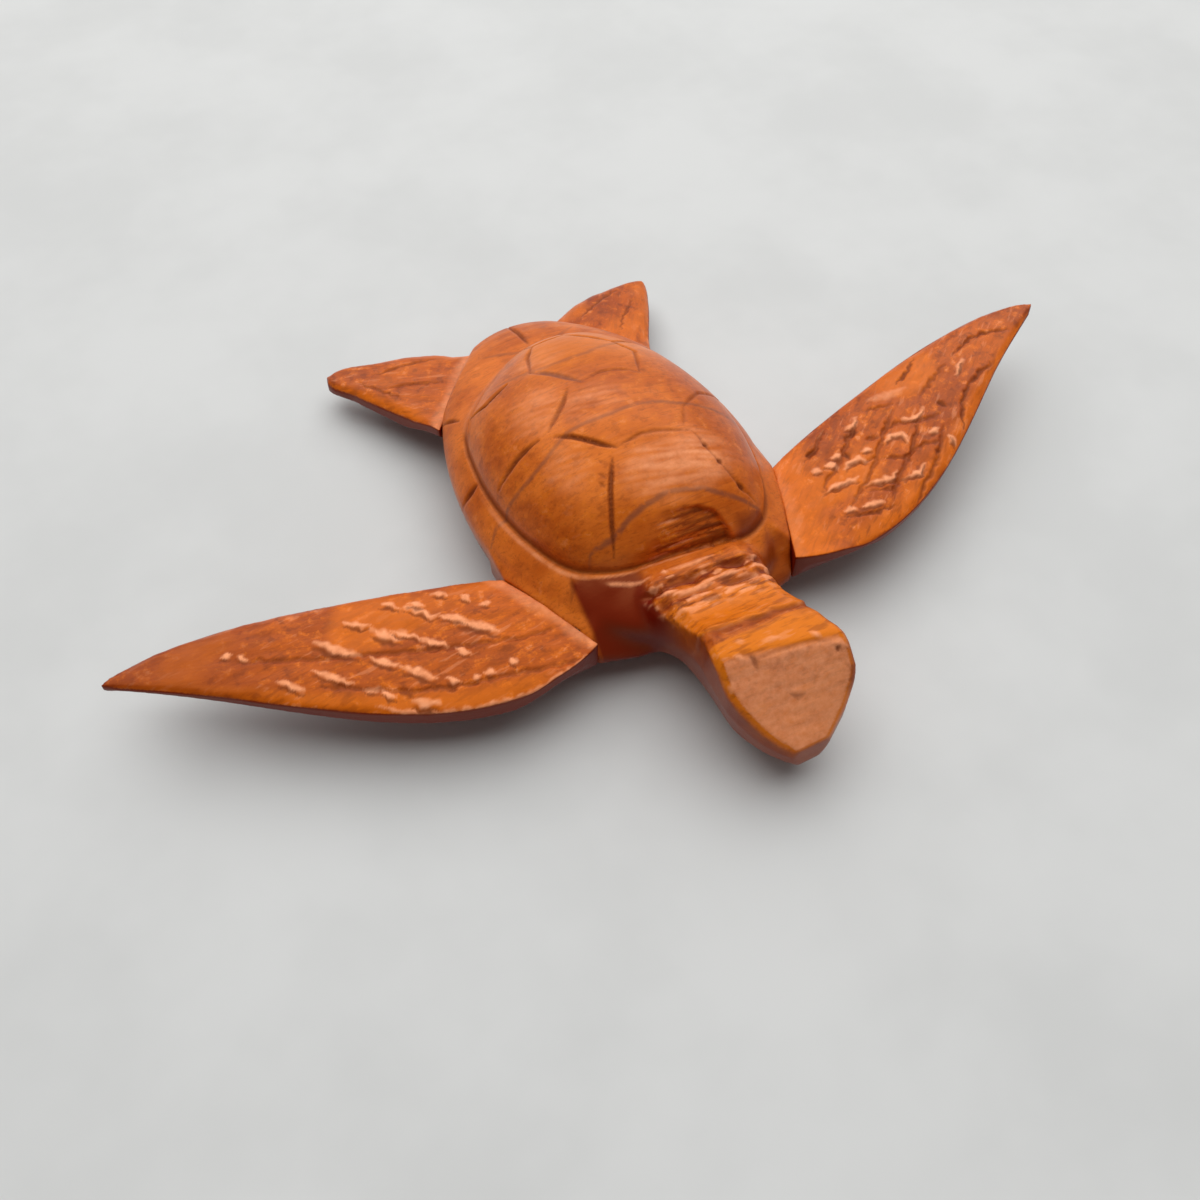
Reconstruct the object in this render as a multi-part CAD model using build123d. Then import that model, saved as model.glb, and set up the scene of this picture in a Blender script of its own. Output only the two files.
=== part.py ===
from build123d import *
import math
import os

# Hand-carved wooden sea turtle: one body block with four glued and dowelled flippers.
# Millimetres, +Z up. The origin is the centre of the flat belly that the turtle rests on.
# The head points to -Y, and the turtle's left side is +X.

# Rim of the shell: an egg seen from above, blunt in front and long behind
rim_half_width = 23.2
rim_front = 30.2
rim_back = 38.0
rim_height = 10.4
rim_edge_thickness = 1.6
belly_inset = 4.6
belly_bulge = 1.3
band_crown = 0.5

# Dome of the shell, set in from the rim, and the V groove round its foot
dome_inset_side = 3.0
dome_inset_front = 5.8
dome_inset_back = 9.6
dome_foot_height = 14.6
dome_height = 11.0
foot_groove_inset = 0.5
foot_groove_width = 1.6
foot_groove_depth = 1.2

# Scute grooves, drawn as shares of the dome's half width and of its front or back half length
scute_groove_width = 0.9
scute_groove_depth = 0.7
scute_line_shares = [
    ((-0.27, -0.28), (-0.52, -0.84)),
    ((0.45, -0.31), (0.64, -0.74)),
    ((-0.62, 0.06), (-0.27, -0.28)),
    ((-0.27, -0.28), (0.45, -0.31)),
    ((0.45, -0.31), (0.72, 0.02)),
    ((-0.62, 0.06), (-0.98, 0.14)),
    ((0.72, 0.02), (0.98, 0.08)),
    ((-0.62, 0.06), (-0.24, 0.27)),
    ((0.72, 0.02), (0.41, 0.24)),
    ((-0.24, 0.27), (0.41, 0.24)),
    ((-0.24, 0.27), (-0.46, 0.56)),
    ((0.41, 0.24), (0.52, 0.56)),
    ((-0.46, 0.56), (-0.82, 0.54)),
    ((0.52, 0.56), (0.84, 0.50)),
    ((-0.46, 0.56), (-0.14, 0.78)),
    ((0.52, 0.56), (0.22, 0.78)),
    ((-0.14, 0.78), (0.22, 0.78)),
]

# Shoulders: the squarer chest that carries the front flippers and the neck
chest_front = 28.8
chest_foot = 22.6
chest_foot_height = 5.0
chest_half_width = 10.0
shoulder_start = 4.5
shoulder_edge_height = 11.0

# Ends of the flippers' seats, as shares of the rim's half width and of its front or back length
front_seat_aft_share = (0.991, -0.318)
front_seat_fore_share = (0.698, -0.881)
rear_seat_aft_share = (0.319, 0.942)
rear_seat_fore_share = (0.836, 0.587)

# Front flippers: the outline along the spine, and the thickness
front_left_length = 63.4
front_right_length = 61.2
front_flipper_width = 21.0
front_flipper_sweep = 15.6
front_left_skew = 0.8
front_right_skew = -0.8
front_leading_shares = [(0.075, -0.60), (0.27, -0.63), (0.53, -0.45), (0.79, -0.18)]
front_trailing_shares = [(0.72, 0.31), (0.44, 0.37), (0.20, 0.37)]
front_root_top = 11.2
front_root_bottom = 6.0
front_mid_top = 12.0
front_mid_bottom = 7.8
front_tip_top = 12.8
front_tip_thickness = 1.5

# Rear flippers, named in the same way
rear_left_length = 21.6
rear_right_length = 23.6
rear_flipper_width = 16.4
rear_left_sweep = 42.0
rear_right_sweep = 46.0
rear_leading_shares = [(0.45, -0.33), (0.88, -0.10)]
rear_trailing_shares = [(0.704, 0.324), (0.377, 0.52)]
rear_root_top = 10.2
rear_root_bottom = 4.6
rear_mid_top = 8.2
rear_mid_bottom = 4.2
rear_tip_top = 5.8
rear_tip_thickness = 2.6

# Glued dowels, two in each flipper root
front_dowel_diameter = 3.0
front_dowel_length = 16.0
front_dowel_spacing = 9.0
rear_dowel_diameter = 2.5
rear_dowel_length = 9.0
rear_dowel_spacing = 7.0
dowel_chamfer = 0.4
dowel_slip = 0.02
dowel_end_gap = 0.5

# Neck and head: stations forward of the origin, each with the half width and the height of its
# flat top, of its cheeks and of its throat
neck_root_station = 20.0
neck_root_top = (9.6, 15.8)
neck_root_cheek = (11.4, 10.0)
neck_root_throat = (9.0, 1.6)
neck_back_station = 27.0
neck_back_top = (8.8, 16.6)
neck_back_cheek = (10.2, 10.5)
neck_back_throat = (7.0, 2.4)
neck_waist_station = 33.0
neck_waist_top = (7.0, 17.2)
neck_waist_cheek = (7.9, 11.5)
neck_waist_throat = (4.8, 4.0)
brow_station = 39.0
brow_top = (7.6, 20.4)
brow_cheek = (8.0, 13.0)
brow_throat = (4.6, 4.4)
cheek_station = 46.0
cheek_top = (9.0, 18.8)
cheek_cheek = (8.6, 12.6)
cheek_throat = (4.4, 4.0)
muzzle_station = 50.6
muzzle_top = (5.2, 14.8)
muzzle_cheek = (5.4, 10.2)
muzzle_throat = (3.2, 4.0)
nose_station = 53.6
nose_top = (1.8, 11.4)
nose_cheek = (2.2, 9.0)
nose_throat = (1.4, 5.6)

# The head looks a little to the turtle's left
head_turn = 4.5

# Folds cut across the top of the neck
neck_fold_count = 3
neck_fold_start = 27.2
neck_fold_pitch = 2.7
neck_fold_width = 1.8
neck_fold_depth = 1.1

# Overrun that lets each cut pass clear of the wood
overrun = 3.0

dome_half_width = rim_half_width - dome_inset_side
dome_front = rim_front - dome_inset_front
dome_back = rim_back - dome_inset_back


def egg(profile, half_width, front, back):
    """Turn a half-profile, drawn at the side on the XZ plane, into a solid with an egg plan."""
    half = revolve(profile, Axis.Z, 180)
    behind = scale(half, by=(1, back / half_width, 1))
    ahead = scale(mirror(half, Plane.XZ), by=(1, front / half_width, 1))
    return behind + ahead


def shell_base():
    """Belly, rim and the crowned band that climbs from the rim to the dome's foot."""
    belly = rim_half_width - belly_inset
    rim_bottom = rim_height - rim_edge_thickness / 2
    rim_top = rim_height + rim_edge_thickness / 2
    band_x = (rim_half_width + dome_half_width) / 2
    band_z = (rim_top + dome_foot_height) / 2 + band_crown
    outline = [
        Line((0, 0, 0), (belly, 0, 0)),
        Spline((belly, 0, 0), (rim_half_width - belly_bulge, 0, rim_bottom / 2),
               (rim_half_width, 0, rim_bottom)),
        Line((rim_half_width, 0, rim_bottom), (rim_half_width, 0, rim_top)),
        ThreePointArc((rim_half_width, 0, rim_top), (band_x, 0, band_z),
                      (dome_half_width, 0, dome_foot_height)),
        Line((dome_half_width, 0, dome_foot_height), (0, 0, dome_foot_height)),
        Line((0, 0, dome_foot_height), (0, 0, 0)),
    ]
    return egg(make_face(outline), rim_half_width, rim_front, rim_back)


def dome(shrink=0):
    """The shell's dome on a short skirt; shrink draws every face in by that much."""
    half_width = dome_half_width - shrink
    top = dome_foot_height + dome_height - shrink
    outline = [
        Line((0, 0, rim_height), (half_width, 0, rim_height)),
        Line((half_width, 0, rim_height), (half_width, 0, dome_foot_height)),
        Plane.XZ * EllipticalCenterArc((0, dome_foot_height), half_width,
                                       dome_height - shrink, arc_size=90),
        Line((0, 0, top), (0, 0, rim_height)),
    ]
    return egg(make_face(outline), half_width, dome_front - shrink, dome_back - shrink)


def foot_groove():
    """The ring cut round the foot of the dome, with a steep inner wall; it is open above."""
    inner = dome_half_width - foot_groove_inset
    outer = inner + foot_groove_width
    top = dome_foot_height + dome_height
    outline = Polyline([
        (inner, 0, dome_foot_height - foot_groove_depth), (inner, 0, top), (outer, 0, top),
        (outer, 0, dome_foot_height)], close=True)
    return egg(make_face(outline), dome_half_width, dome_front, dome_back)


def in_plan(share, half_width, front, back):
    """Plan position of a point given as shares of an egg's half width and its two lengths."""
    length = back if share[1] > 0 else front
    return share[0] * half_width, share[1] * length


def on_dome(share):
    """Plan position of a point given as shares of the dome's sizes."""
    return in_plan(share, dome_half_width, dome_front, dome_back)


def on_rim(share):
    """Plan position of a point given as shares of the rim's sizes."""
    return in_plan(share, rim_half_width, rim_front, rim_back)


def scute_grooves():
    """One upright blade for each scute line, cut off at the grooves' floor."""
    blades = []
    for start, end in scute_line_shares:
        x0, y0 = on_dome(start)
        x1, y1 = on_dome(end)
        run = math.hypot(x1 - x0, y1 - y0)
        turn = math.degrees(math.atan2(y1 - y0, x1 - x0))
        middle = Pos((x0 + x1) / 2, (y0 + y1) / 2, dome_foot_height + dome_height)
        blade = Box(run + scute_groove_width, scute_groove_width, 2 * dome_height)
        blades.append(middle * Rot(0, 0, turn) * blade - dome(scute_groove_depth))
    return blades


def shoulders():
    """Chest block under the shell's front: a flat seat for each flipper, drawn in below it."""
    aft_x, aft_y = front_seat_aft
    fore_x, fore_y = front_seat_fore
    right = [(aft_x, -shoulder_start), (aft_x, aft_y), (fore_x, fore_y),
             (chest_half_width, -chest_front)]
    left = [(-x, y) for x, y in reversed(right)]
    plan = Pos(0, 0, front_root_bottom) * make_face(Polyline(right + left, close=True))
    taper = math.degrees(math.atan(belly_inset / front_root_bottom))
    above = extrude(plan, dome_foot_height - front_root_bottom)
    below = extrude(plan, front_root_bottom, dir=(0, 0, -1), taper=taper)
    slope = Plane.YZ * make_face(Polyline([
        (0, 0), (-chest_foot, 0), (-chest_front, chest_foot_height),
        (foot_groove_width - dome_front, dome_foot_height), (0, dome_foot_height)], close=True))
    roof = Plane.XZ * make_face(Polyline([
        (-aft_x, 0), (-aft_x, shoulder_edge_height), (-dome_half_width, dome_foot_height),
        (dome_half_width, dome_foot_height), (aft_x, shoulder_edge_height),
        (aft_x, 0)], close=True))
    chest = (above + below) & extrude(slope, rim_half_width, both=True)
    return chest & extrude(roof, chest_front, both=True)


def on_side(shape, side):
    """A shape drawn on the turtle's left, or its mirror image on the right."""
    return shape if side == "left" else mirror(shape, Plane.YZ)


def station(distance, top, cheek, throat):
    """A six-sided section across the neck or head, shifted to the side that the head turns to."""
    left = [top, cheek, throat]
    right = [(-x, z) for x, z in reversed(left)]
    beyond = max(distance - neck_back_station, 0)
    shift = beyond * math.tan(math.radians(head_turn))
    corners = [(x + shift, -distance, z) for x, z in left + right]
    return make_face(Polyline(corners, close=True))


def neck_and_head():
    """Neck and head, drawn through their stations."""
    return loft([
        station(neck_root_station, neck_root_top, neck_root_cheek, neck_root_throat),
        station(neck_back_station, neck_back_top, neck_back_cheek, neck_back_throat),
        station(neck_waist_station, neck_waist_top, neck_waist_cheek, neck_waist_throat),
        station(brow_station, brow_top, brow_cheek, brow_throat),
        station(cheek_station, cheek_top, cheek_cheek, cheek_throat),
        station(muzzle_station, muzzle_top, muzzle_cheek, muzzle_throat),
        station(nose_station, nose_top, nose_cheek, nose_throat),
    ])


def neck_folds():
    """V-shaped folds across the top of the neck."""
    climb = (neck_waist_top[1] - neck_back_top[1]) / (neck_waist_station - neck_back_station)
    folds = []
    for number in range(neck_fold_count):
        distance = neck_fold_start + number * neck_fold_pitch
        top = neck_back_top[1] + climb * (distance - neck_back_station)
        near = -distance + neck_fold_width / 2
        far = -distance - neck_fold_width / 2
        outline = Polyline([(near, top), (near, top + overrun), (far, top + overrun), (far, top),
                            (-distance, top - neck_fold_depth)], close=True)
        folds.append(extrude(Plane.YZ * make_face(outline), neck_root_cheek[0], both=True))
    return folds


class Seat:
    """A flat, upright seat between two plan points, with its outward direction."""

    def __init__(self, fore, aft, bottom, top):
        self.middle = ((fore[0] + aft[0]) / 2, (fore[1] + aft[1]) / 2)
        self.length = math.hypot(aft[0] - fore[0], aft[1] - fore[1])
        self.along = ((aft[0] - fore[0]) / self.length, (aft[1] - fore[1]) / self.length)
        self.outward = (self.along[1], -self.along[0])
        self.height = (bottom + top) / 2

    def frame(self, offset=0):
        """Plane on the seat, shifted along it, with its normal pointing out of the body."""
        origin = (self.middle[0] + offset * self.along[0],
                  self.middle[1] + offset * self.along[1], self.height)
        return Plane(origin=origin, x_dir=(0, 0, 1), z_dir=(*self.outward, 0))


front_seat_fore = on_rim(front_seat_fore_share)
front_seat_aft = on_rim(front_seat_aft_share)
rear_seat_fore = on_rim(rear_seat_fore_share)
rear_seat_aft = on_rim(rear_seat_aft_share)
front_seat = Seat(front_seat_fore, front_seat_aft, front_root_bottom, front_root_top)
rear_seat = Seat(rear_seat_fore, rear_seat_aft, rear_root_bottom, rear_root_top)


def seat_flat(seat):
    """What is pared off the body outside a seat."""
    return seat.frame() * Box(2 * dome_foot_height, seat.length, rim_half_width,
                              align=(Align.CENTER, Align.CENTER, Align.MIN))


def dowel(seat, diameter, length, offset):
    """A chamfered dowel, half in the body and half in the flipper."""
    stick = Cylinder(diameter / 2, length)
    stick = chamfer(stick.edges().filter_by(GeomType.CIRCLE), dowel_chamfer)
    return seat.frame(offset) * stick


def dowel_bore(seat, diameter, length, offset):
    """The blind bore for a dowel, with room for glue at both ends."""
    return seat.frame(offset) * Cylinder(diameter / 2 + dowel_slip, length + 2 * dowel_end_gap)


def flipper(seat, fore, aft, length, width, sweep, skew, leading, trailing, side_view):
    """A flipper on the turtle's left: its plan outline, cut to its side view."""
    turn = math.radians(sweep)

    def place(along, across):
        out = along * length
        over = across * width + skew * along
        return (seat.middle[0] + out * math.cos(turn) - over * math.sin(turn),
                seat.middle[1] + out * math.sin(turn) + over * math.cos(turn))

    tip = place(1, 0)
    outline = [
        Line(fore, aft),
        Spline([aft] + [place(*share) for share in reversed(trailing)] + [tip]),
        Spline([tip] + [place(*share) for share in reversed(leading)] + [fore]),
    ]
    plate = extrude(make_face(outline), dome_foot_height)
    spine = Plane(origin=(*seat.middle, 0), x_dir=(math.cos(turn), math.sin(turn), 0),
                  z_dir=(math.sin(turn), -math.cos(turn), 0))
    return plate & extrude(spine * side_view, 2 * width, both=True)


def side_view(reach, length, root, middle, tip, tip_thickness):
    """Side view of a flipper: bottom and top heights at its root, middle and tip."""
    tip_bottom = tip - tip_thickness
    end = length + overrun
    return make_face([
        Line((-reach, root[0]), (-reach, root[1])),
        Spline((-reach, root[1]), (length / 2, middle[1]), (length, tip)),
        Line((length, tip), (end, tip)),
        Line((end, tip), (end, tip_bottom)),
        Line((end, tip_bottom), (length, tip_bottom)),
        Spline((length, tip_bottom), (length / 2, middle[0]), (-reach, root[0])),
    ])


def front_flipper(length, skew):
    """A front flipper, drawn on the turtle's left."""
    view = side_view(front_seat.length / 2, length,
                     (front_root_bottom, front_root_top), (front_mid_bottom, front_mid_top),
                     front_tip_top, front_tip_thickness)
    return flipper(front_seat, front_seat_fore, front_seat_aft, length, front_flipper_width,
                   front_flipper_sweep, skew, front_leading_shares,
                   front_trailing_shares, view)


def rear_flipper(length, sweep):
    """A rear flipper, drawn on the turtle's left."""
    view = side_view(rear_seat.length / 2, length,
                     (rear_root_bottom, rear_root_top), (rear_mid_bottom, rear_mid_top),
                     rear_tip_top, rear_tip_thickness)
    return flipper(rear_seat, rear_seat_fore, rear_seat_aft, length, rear_flipper_width, sweep, 0,
                   rear_leading_shares, rear_trailing_shares, view)


def body_block():
    """Shell, belly, neck and head from one block of wood."""
    block = shell_base() + shoulders() + dome() + neck_and_head()
    block = block - foot_groove()
    for groove in scute_grooves():
        block = block - groove
    for fold in neck_folds():
        block = block - fold
    return block


flippers = {
    ("front", "left"): front_flipper(front_left_length, front_left_skew),
    ("front", "right"): front_flipper(front_right_length, front_right_skew),
    ("rear", "left"): rear_flipper(rear_left_length, rear_left_sweep),
    ("rear", "right"): rear_flipper(rear_right_length, rear_right_sweep),
}
dowel_sets = {
    "front": (front_seat, front_dowel_diameter, front_dowel_length, front_dowel_spacing),
    "rear": (rear_seat, rear_dowel_diameter, rear_dowel_length, rear_dowel_spacing),
}
body = body_block()
pieces = {}
for (end, side), blade in flippers.items():
    seat, diameter, length, spacing = dowel_sets[end]
    body = body - on_side(seat_flat(seat), side)
    for place, offset in (("fore", -spacing / 2), ("aft", spacing / 2)):
        bore = dowel_bore(seat, diameter, length, offset)
        blade = blade - bore
        body = body - on_side(bore, side)
        pieces[f"{end}_{side}_{place}_dowel"] = on_side(dowel(seat, diameter, length, offset), side)
    pieces[f"{end}_flipper_{side}"] = on_side(blade, side)
pieces["body_block"] = body

os.makedirs("parts", exist_ok=True)
for name, shape in pieces.items():
    export_step(shape, f"parts/{name}.step")
    print(name, len(shape.solids()), round(shape.volume, 1))
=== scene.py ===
"""Hand-carved and stained wooden sea turtle, dressed around its packed construction model."""
from __future__ import annotations

import logging
import math
from dataclasses import astuple, dataclass
from enum import Enum, IntEnum

import bmesh
import bpy
import numpy as np
from mathutils import Matrix, Vector, noise

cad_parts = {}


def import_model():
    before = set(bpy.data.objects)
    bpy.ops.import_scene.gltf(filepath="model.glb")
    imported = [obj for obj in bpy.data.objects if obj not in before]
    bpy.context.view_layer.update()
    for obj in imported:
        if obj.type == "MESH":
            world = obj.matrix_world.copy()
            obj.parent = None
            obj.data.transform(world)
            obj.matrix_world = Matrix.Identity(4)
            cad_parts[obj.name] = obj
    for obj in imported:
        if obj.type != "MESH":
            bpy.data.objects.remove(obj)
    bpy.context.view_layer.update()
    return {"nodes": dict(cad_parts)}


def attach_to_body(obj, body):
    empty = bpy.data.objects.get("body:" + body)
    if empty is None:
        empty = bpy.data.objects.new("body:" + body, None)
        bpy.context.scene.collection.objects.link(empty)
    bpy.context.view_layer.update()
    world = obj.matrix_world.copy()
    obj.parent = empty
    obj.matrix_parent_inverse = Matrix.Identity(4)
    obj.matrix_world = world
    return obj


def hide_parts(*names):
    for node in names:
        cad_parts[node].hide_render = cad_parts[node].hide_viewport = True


MM = 0.001
NEAR_MM = 0.01
LOG = logging.getLogger("turtle")
Point = tuple[float, float]
Line = tuple[Point, ...]
Place = tuple[float, float, float]
Colour = tuple[float, float, float]
EVEN: Place = (1.0, 1.0, 1.0)
MARKS = ("stain", "pale", "shade", "ring", "warm", "rough")
SPREADS = {"stain": 1.7, "pale": 1.6, "ring": 1.6}


class Side(Enum):
    """The turtle's own left and right; its left is +X."""

    LEFT = 1
    RIGHT = -1


class Slot(Enum):
    """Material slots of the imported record."""

    BODY = "stained_body_wood"
    FLIPPER = "stained_flipper_wood"


class Lumps(Enum):
    """Noises of the materials: lumps per mm, octaves, and how strong the small octaves are."""

    FIBRE = (2.6, 5.0, 0.62)
    STREAK = (0.55, 4.0, 0.6)
    CLOUD = (0.075, 3.0, 0.55)
    SPECK = (1.7, 4.0, 0.7)
    BLOTCH = (0.5, 4.0, 0.62)
    CUT = (1.0, 3.0, 0.55)
    RING = (0.6, 3.0, 0.6)
    PALE_BREAKUP = (0.9, 3.0, 0.6)
    BEECH = (3.0, 4.0, 0.6)
    TABLE = (0.02, 4.0, 0.6)


class Seed(IntEnum):
    """Where each unevenness of the carving reads its noise."""

    DOME = 2
    SCOOP = 3
    FOLD_BREAK = 5
    RING_LINE = 7
    SCOOP_EDGE = 9
    FOLD_WAVE = 11
    FOLD_RIPPLE = 13
    CHIP = 17
    HEAD = 21
    KNIFE = 31
    LIP = 41
    PATCH = 51
    SEAM = 61
    PLANED = 71
    RAGGED_ALONG = 81
    RAGGED_ACROSS = 83


# Shader maths


class Sock:
    """The output of a node, which takes part in shader maths."""

    def __init__(self, bench: Bench, source: bpy.types.NodeSocket) -> None:
        """Keep the bench that adds the nodes, and the output."""
        self.bench = bench
        self.source = source

    def __add__(self, other: Sock | float) -> Sock:
        """Sum."""
        return self.bench.maths("ADD", self, other)

    def __mul__(self, other: Sock | float) -> Sock:
        """Product."""
        return self.bench.maths("MULTIPLY", self, other)

    def ramp(self, low: float, high: float) -> Sock:
        """Smooth step from 0 at low to 1 at high; low may be the larger."""
        ends = {"From Min": low, "From Max": high, "To Min": 0.0, "To Max": 1.0}
        if low > high:
            ends = {"From Min": high, "From Max": low, "To Min": 1.0, "To Max": 0.0}
        made = self.bench.node(
            "MapRange", {"Value": self, **ends}, interpolation_type="SMOOTHSTEP"
        )
        return Sock(self.bench, made.outputs["Result"])


class Bench:
    """Adds nodes to the tree of one material or world."""

    def __init__(self, owner: bpy.types.Material | bpy.types.World) -> None:
        """Empty the owner's tree.

        Args:
            owner: The new material or world.
        """
        owner.use_nodes = True
        self.owner = owner
        self.tree = owner.node_tree
        self.tree.nodes.clear()

    def feed(self, socket: bpy.types.NodeSocket, value: object) -> None:
        """Link or set one input socket.

        Args:
            socket: The input.
            value: A Sock, a socket, a number or a tuple.
        """
        if isinstance(value, Sock):
            value = value.source
        if isinstance(value, bpy.types.NodeSocket):
            self.tree.links.new(value, socket)
        elif socket.type == "RGBA" and len(value) == 3:
            socket.default_value = (*value, 1.0)
        else:
            socket.default_value = value

    def node(self, kind: str, inputs: dict, **settings: object) -> bpy.types.Node:
        """Add a node.

        Args:
            kind: The node's type, after the word ShaderNode.
            inputs: Values or links by socket name or number.
            **settings: Its properties, set before its sockets.

        Returns:
            The node.
        """
        made = self.tree.nodes.new(f"ShaderNode{kind}")
        for key, value in settings.items():
            setattr(made, key, value)
        for key, value in inputs.items():
            self.feed(made.inputs[key], value)
        return made

    def maths(self, operation: str, first: Sock, second: Sock | float) -> Sock:
        """One Math node on two values."""
        made = self.node("Math", {0: first, 1: second}, operation=operation)
        return Sock(self, made.outputs[0])

    def clamp(self, value: Sock) -> Sock:
        """Limit a value to between 0 and 1."""
        return Sock(self, self.node("Clamp", {"Value": value}).outputs[0])

    def mix(self, share: Sock, under: Sock | Colour, over: Sock | Colour) -> Sock:
        """Lay one colour over another; the share is how much of the upper one shows."""
        made = self.node("Mix", {0: share, 6: under, 7: over}, data_type="RGBA")
        return Sock(self, made.outputs[2])

    def attribute(self, name: str) -> Sock:
        """A number that the carving stored on the mesh."""
        return Sock(self, self.node("Attribute", {}, attribute_name=name).outputs["Fac"])

    def placed(self, turn: float, stretch: Place) -> Sock:
        """Object coordinates in millimetres, turned about Z and stretched.

        Args:
            turn: Angle in radians.
            stretch: Factors along the turned axes.

        Returns:
            The vector.
        """
        where = self.node("TexCoord", {}).outputs["Object"]
        turned = self.node("Mapping", {"Vector": where, "Rotation": (0.0, 0.0, -turn)})
        factors = tuple(share / MM for share in stretch)
        scaled = self.node("Mapping", {"Vector": turned.outputs["Vector"], "Scale": factors})
        return Sock(self, scaled.outputs["Vector"])

    def noise(self, where: Sock, lumps: Lumps) -> Sock:
        """One of the materials' noises, about 0.5, read at a vector in millimetres."""
        settings = dict(zip(("Scale", "Detail", "Roughness"), lumps.value))
        return Sock(self, self.node("TexNoise", {"Vector": where, **settings}).outputs["Fac"])

    def bump(self, strength: float, relief: float, height: Sock) -> Sock:
        """Normal of a relief in mm, which rises where the height does."""
        settings = {"Strength": strength, "Distance": relief * MM, "Height": height}
        return Sock(self, self.node("Bump", settings).outputs["Normal"])

    def skin(self, inputs: dict) -> bpy.types.Material:
        """Close the material with one Principled surface and give it back."""
        made = self.node("BsdfPrincipled", inputs)
        self.node("OutputMaterial", {"Surface": made.outputs[0]})
        return self.owner


# Finishes


@dataclass(frozen=True)
class WoodFinish:
    """Stained and varnished carving wood with growth rings, fibres and pores; it also lays painted
    shade and painted highlights.
    """

    name: str
    light: Colour = (0.74, 0.175, 0.020)
    middle: Colour = (0.46, 0.078, 0.004)
    dark: Colour = (0.17, 0.018, 0.002)
    shadow: Colour = (0.15, 0.004, 0.0003)
    groove: Colour = (0.12, 0.016, 0.003)
    pale: Colour = (0.98, 0.38, 0.18)
    warm: Colour = (0.78, 0.19, 0.004)
    ring: Colour = (0.17, 0.045, 0.028)
    glint: Colour = (1.0, 0.40, 0.12)
    grain_turn: float = 0.0
    grain_stretch: Place = (0.12, 1.0, 1.0)
    tool_turn: float = 0.0
    tool_stretch: Place = (0.2, 1.0, 1.0)
    mottle: float = 0.35
    roughness: float = 0.34
    fibre_roughness: float = 0.16
    speck_roughness: float = 0.12
    stain_roughness: float = 0.25
    index: float = 1.46
    gloss: float = 0.6
    varnish: float = 0.03
    varnish_roughness: float = 0.28
    bump: float = 0.9
    relief: float = 0.05

    def material(self) -> bpy.types.Material:
        """Build the node material.

        Returns:
            The material.
        """
        bench = Bench(bpy.data.materials.new(self.name))
        along = bench.placed(self.grain_turn, self.grain_stretch)
        plain = bench.placed(self.grain_turn, EVEN)
        fibre = bench.noise(along, Lumps.FIBRE)
        streak = bench.noise(along, Lumps.STREAK)
        cloud = bench.noise(plain, Lumps.CLOUD)
        speck = bench.noise(plain, Lumps.SPECK)
        blotch = bench.noise(plain, Lumps.BLOTCH)
        cuts = bench.noise(bench.placed(self.tool_turn, self.tool_stretch), Lumps.CUT)
        stain = bench.attribute("stain")
        worked = bench.attribute("rough")
        patch = bench.clamp(worked + self.mottle)
        broken_ring = bench.attribute("ring") * bench.noise(plain, Lumps.RING).ramp(0.25, 0.5)
        # The pale mark holds painted highlights and the glue lines at the flipper roots, broken up
        # by noise.
        highlight_and_glue_pale = bench.attribute("pale") * (bench.noise(plain, Lumps.PALE_BREAKUP) * 1.4 + 0.2)

        tone = cloud.ramp(0.36, 0.66) * 0.65 + streak.ramp(0.35, 0.70) * 0.35
        colour = bench.mix(tone, self.middle, self.light)
        layers = (
            (blotch.ramp(0.47, 0.33) * patch * 0.65, self.dark),
            (blotch.ramp(0.53, 0.62) * patch * 0.55, self.warm),
            (blotch.ramp(0.61, 0.71) * patch * 0.35, self.pale),
            (fibre.ramp(0.50, 0.30) * 0.35, self.dark),
            (speck.ramp(0.58, 0.74) * 0.35, self.dark),
            (bench.clamp(bench.attribute("warm")), self.warm),
            (cuts.ramp(0.50, 0.36) * worked * 0.85, self.dark),
            (cuts.ramp(0.58, 0.68) * worked * 0.5, self.pale),
            # Painted shade from the shade mark, in the shadow colour.
            (bench.clamp(bench.attribute("shade")), self.shadow),
            (bench.clamp(broken_ring), self.ring),
            # Pale painted highlights and glue lines from the pale mark.
            (bench.clamp(highlight_and_glue_pale), self.pale),
            (bench.clamp(stain * (speck * 0.5 + 0.78)), self.groove),
        )
        for share, laid_over in layers:
            colour = bench.mix(share, colour, laid_over)

        uneven = fibre * self.fibre_roughness + speck * self.speck_roughness
        mean = (self.fibre_roughness + self.speck_roughness) / 2
        rough = uneven + stain * self.stain_roughness + (self.roughness - mean)
        height = fibre * 0.4 + streak * 0.5 + speck * 0.12 + cuts * worked * 2.6
        return bench.skin(
            {
                "Base Color": colour,
                "Roughness": bench.clamp(rough),
                "Coat Weight": self.varnish,
                "Coat Roughness": self.varnish_roughness,
                "IOR": self.index,
                "Specular IOR Level": self.gloss,
                "Specular Tint": self.glint,
                "Normal": bench.bump(self.bump, self.relief, height),
            }
        )


@dataclass(frozen=True)
class DowelFinish:
    """Bare turned beech with fine fibres along the dowel."""

    name: str
    light: Colour = (0.60, 0.40, 0.22)
    dark: Colour = (0.42, 0.25, 0.12)
    grain_turn: float = 0.0
    grain_stretch: Place = (0.15, 1.0, 1.0)
    bump: float = 0.6
    relief: float = 0.03

    def material(self) -> bpy.types.Material:
        """Build the node material.

        Returns:
            The material.
        """
        bench = Bench(bpy.data.materials.new(self.name))
        fibre = bench.noise(bench.placed(self.grain_turn, self.grain_stretch), Lumps.BEECH)
        return bench.skin(
            {
                "Base Color": bench.mix(fibre.ramp(0.35, 0.65), self.light, self.dark),
                "Roughness": fibre * 0.2 + 0.5,
                "Normal": bench.bump(self.bump, self.relief, fibre),
            }
        )


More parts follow.
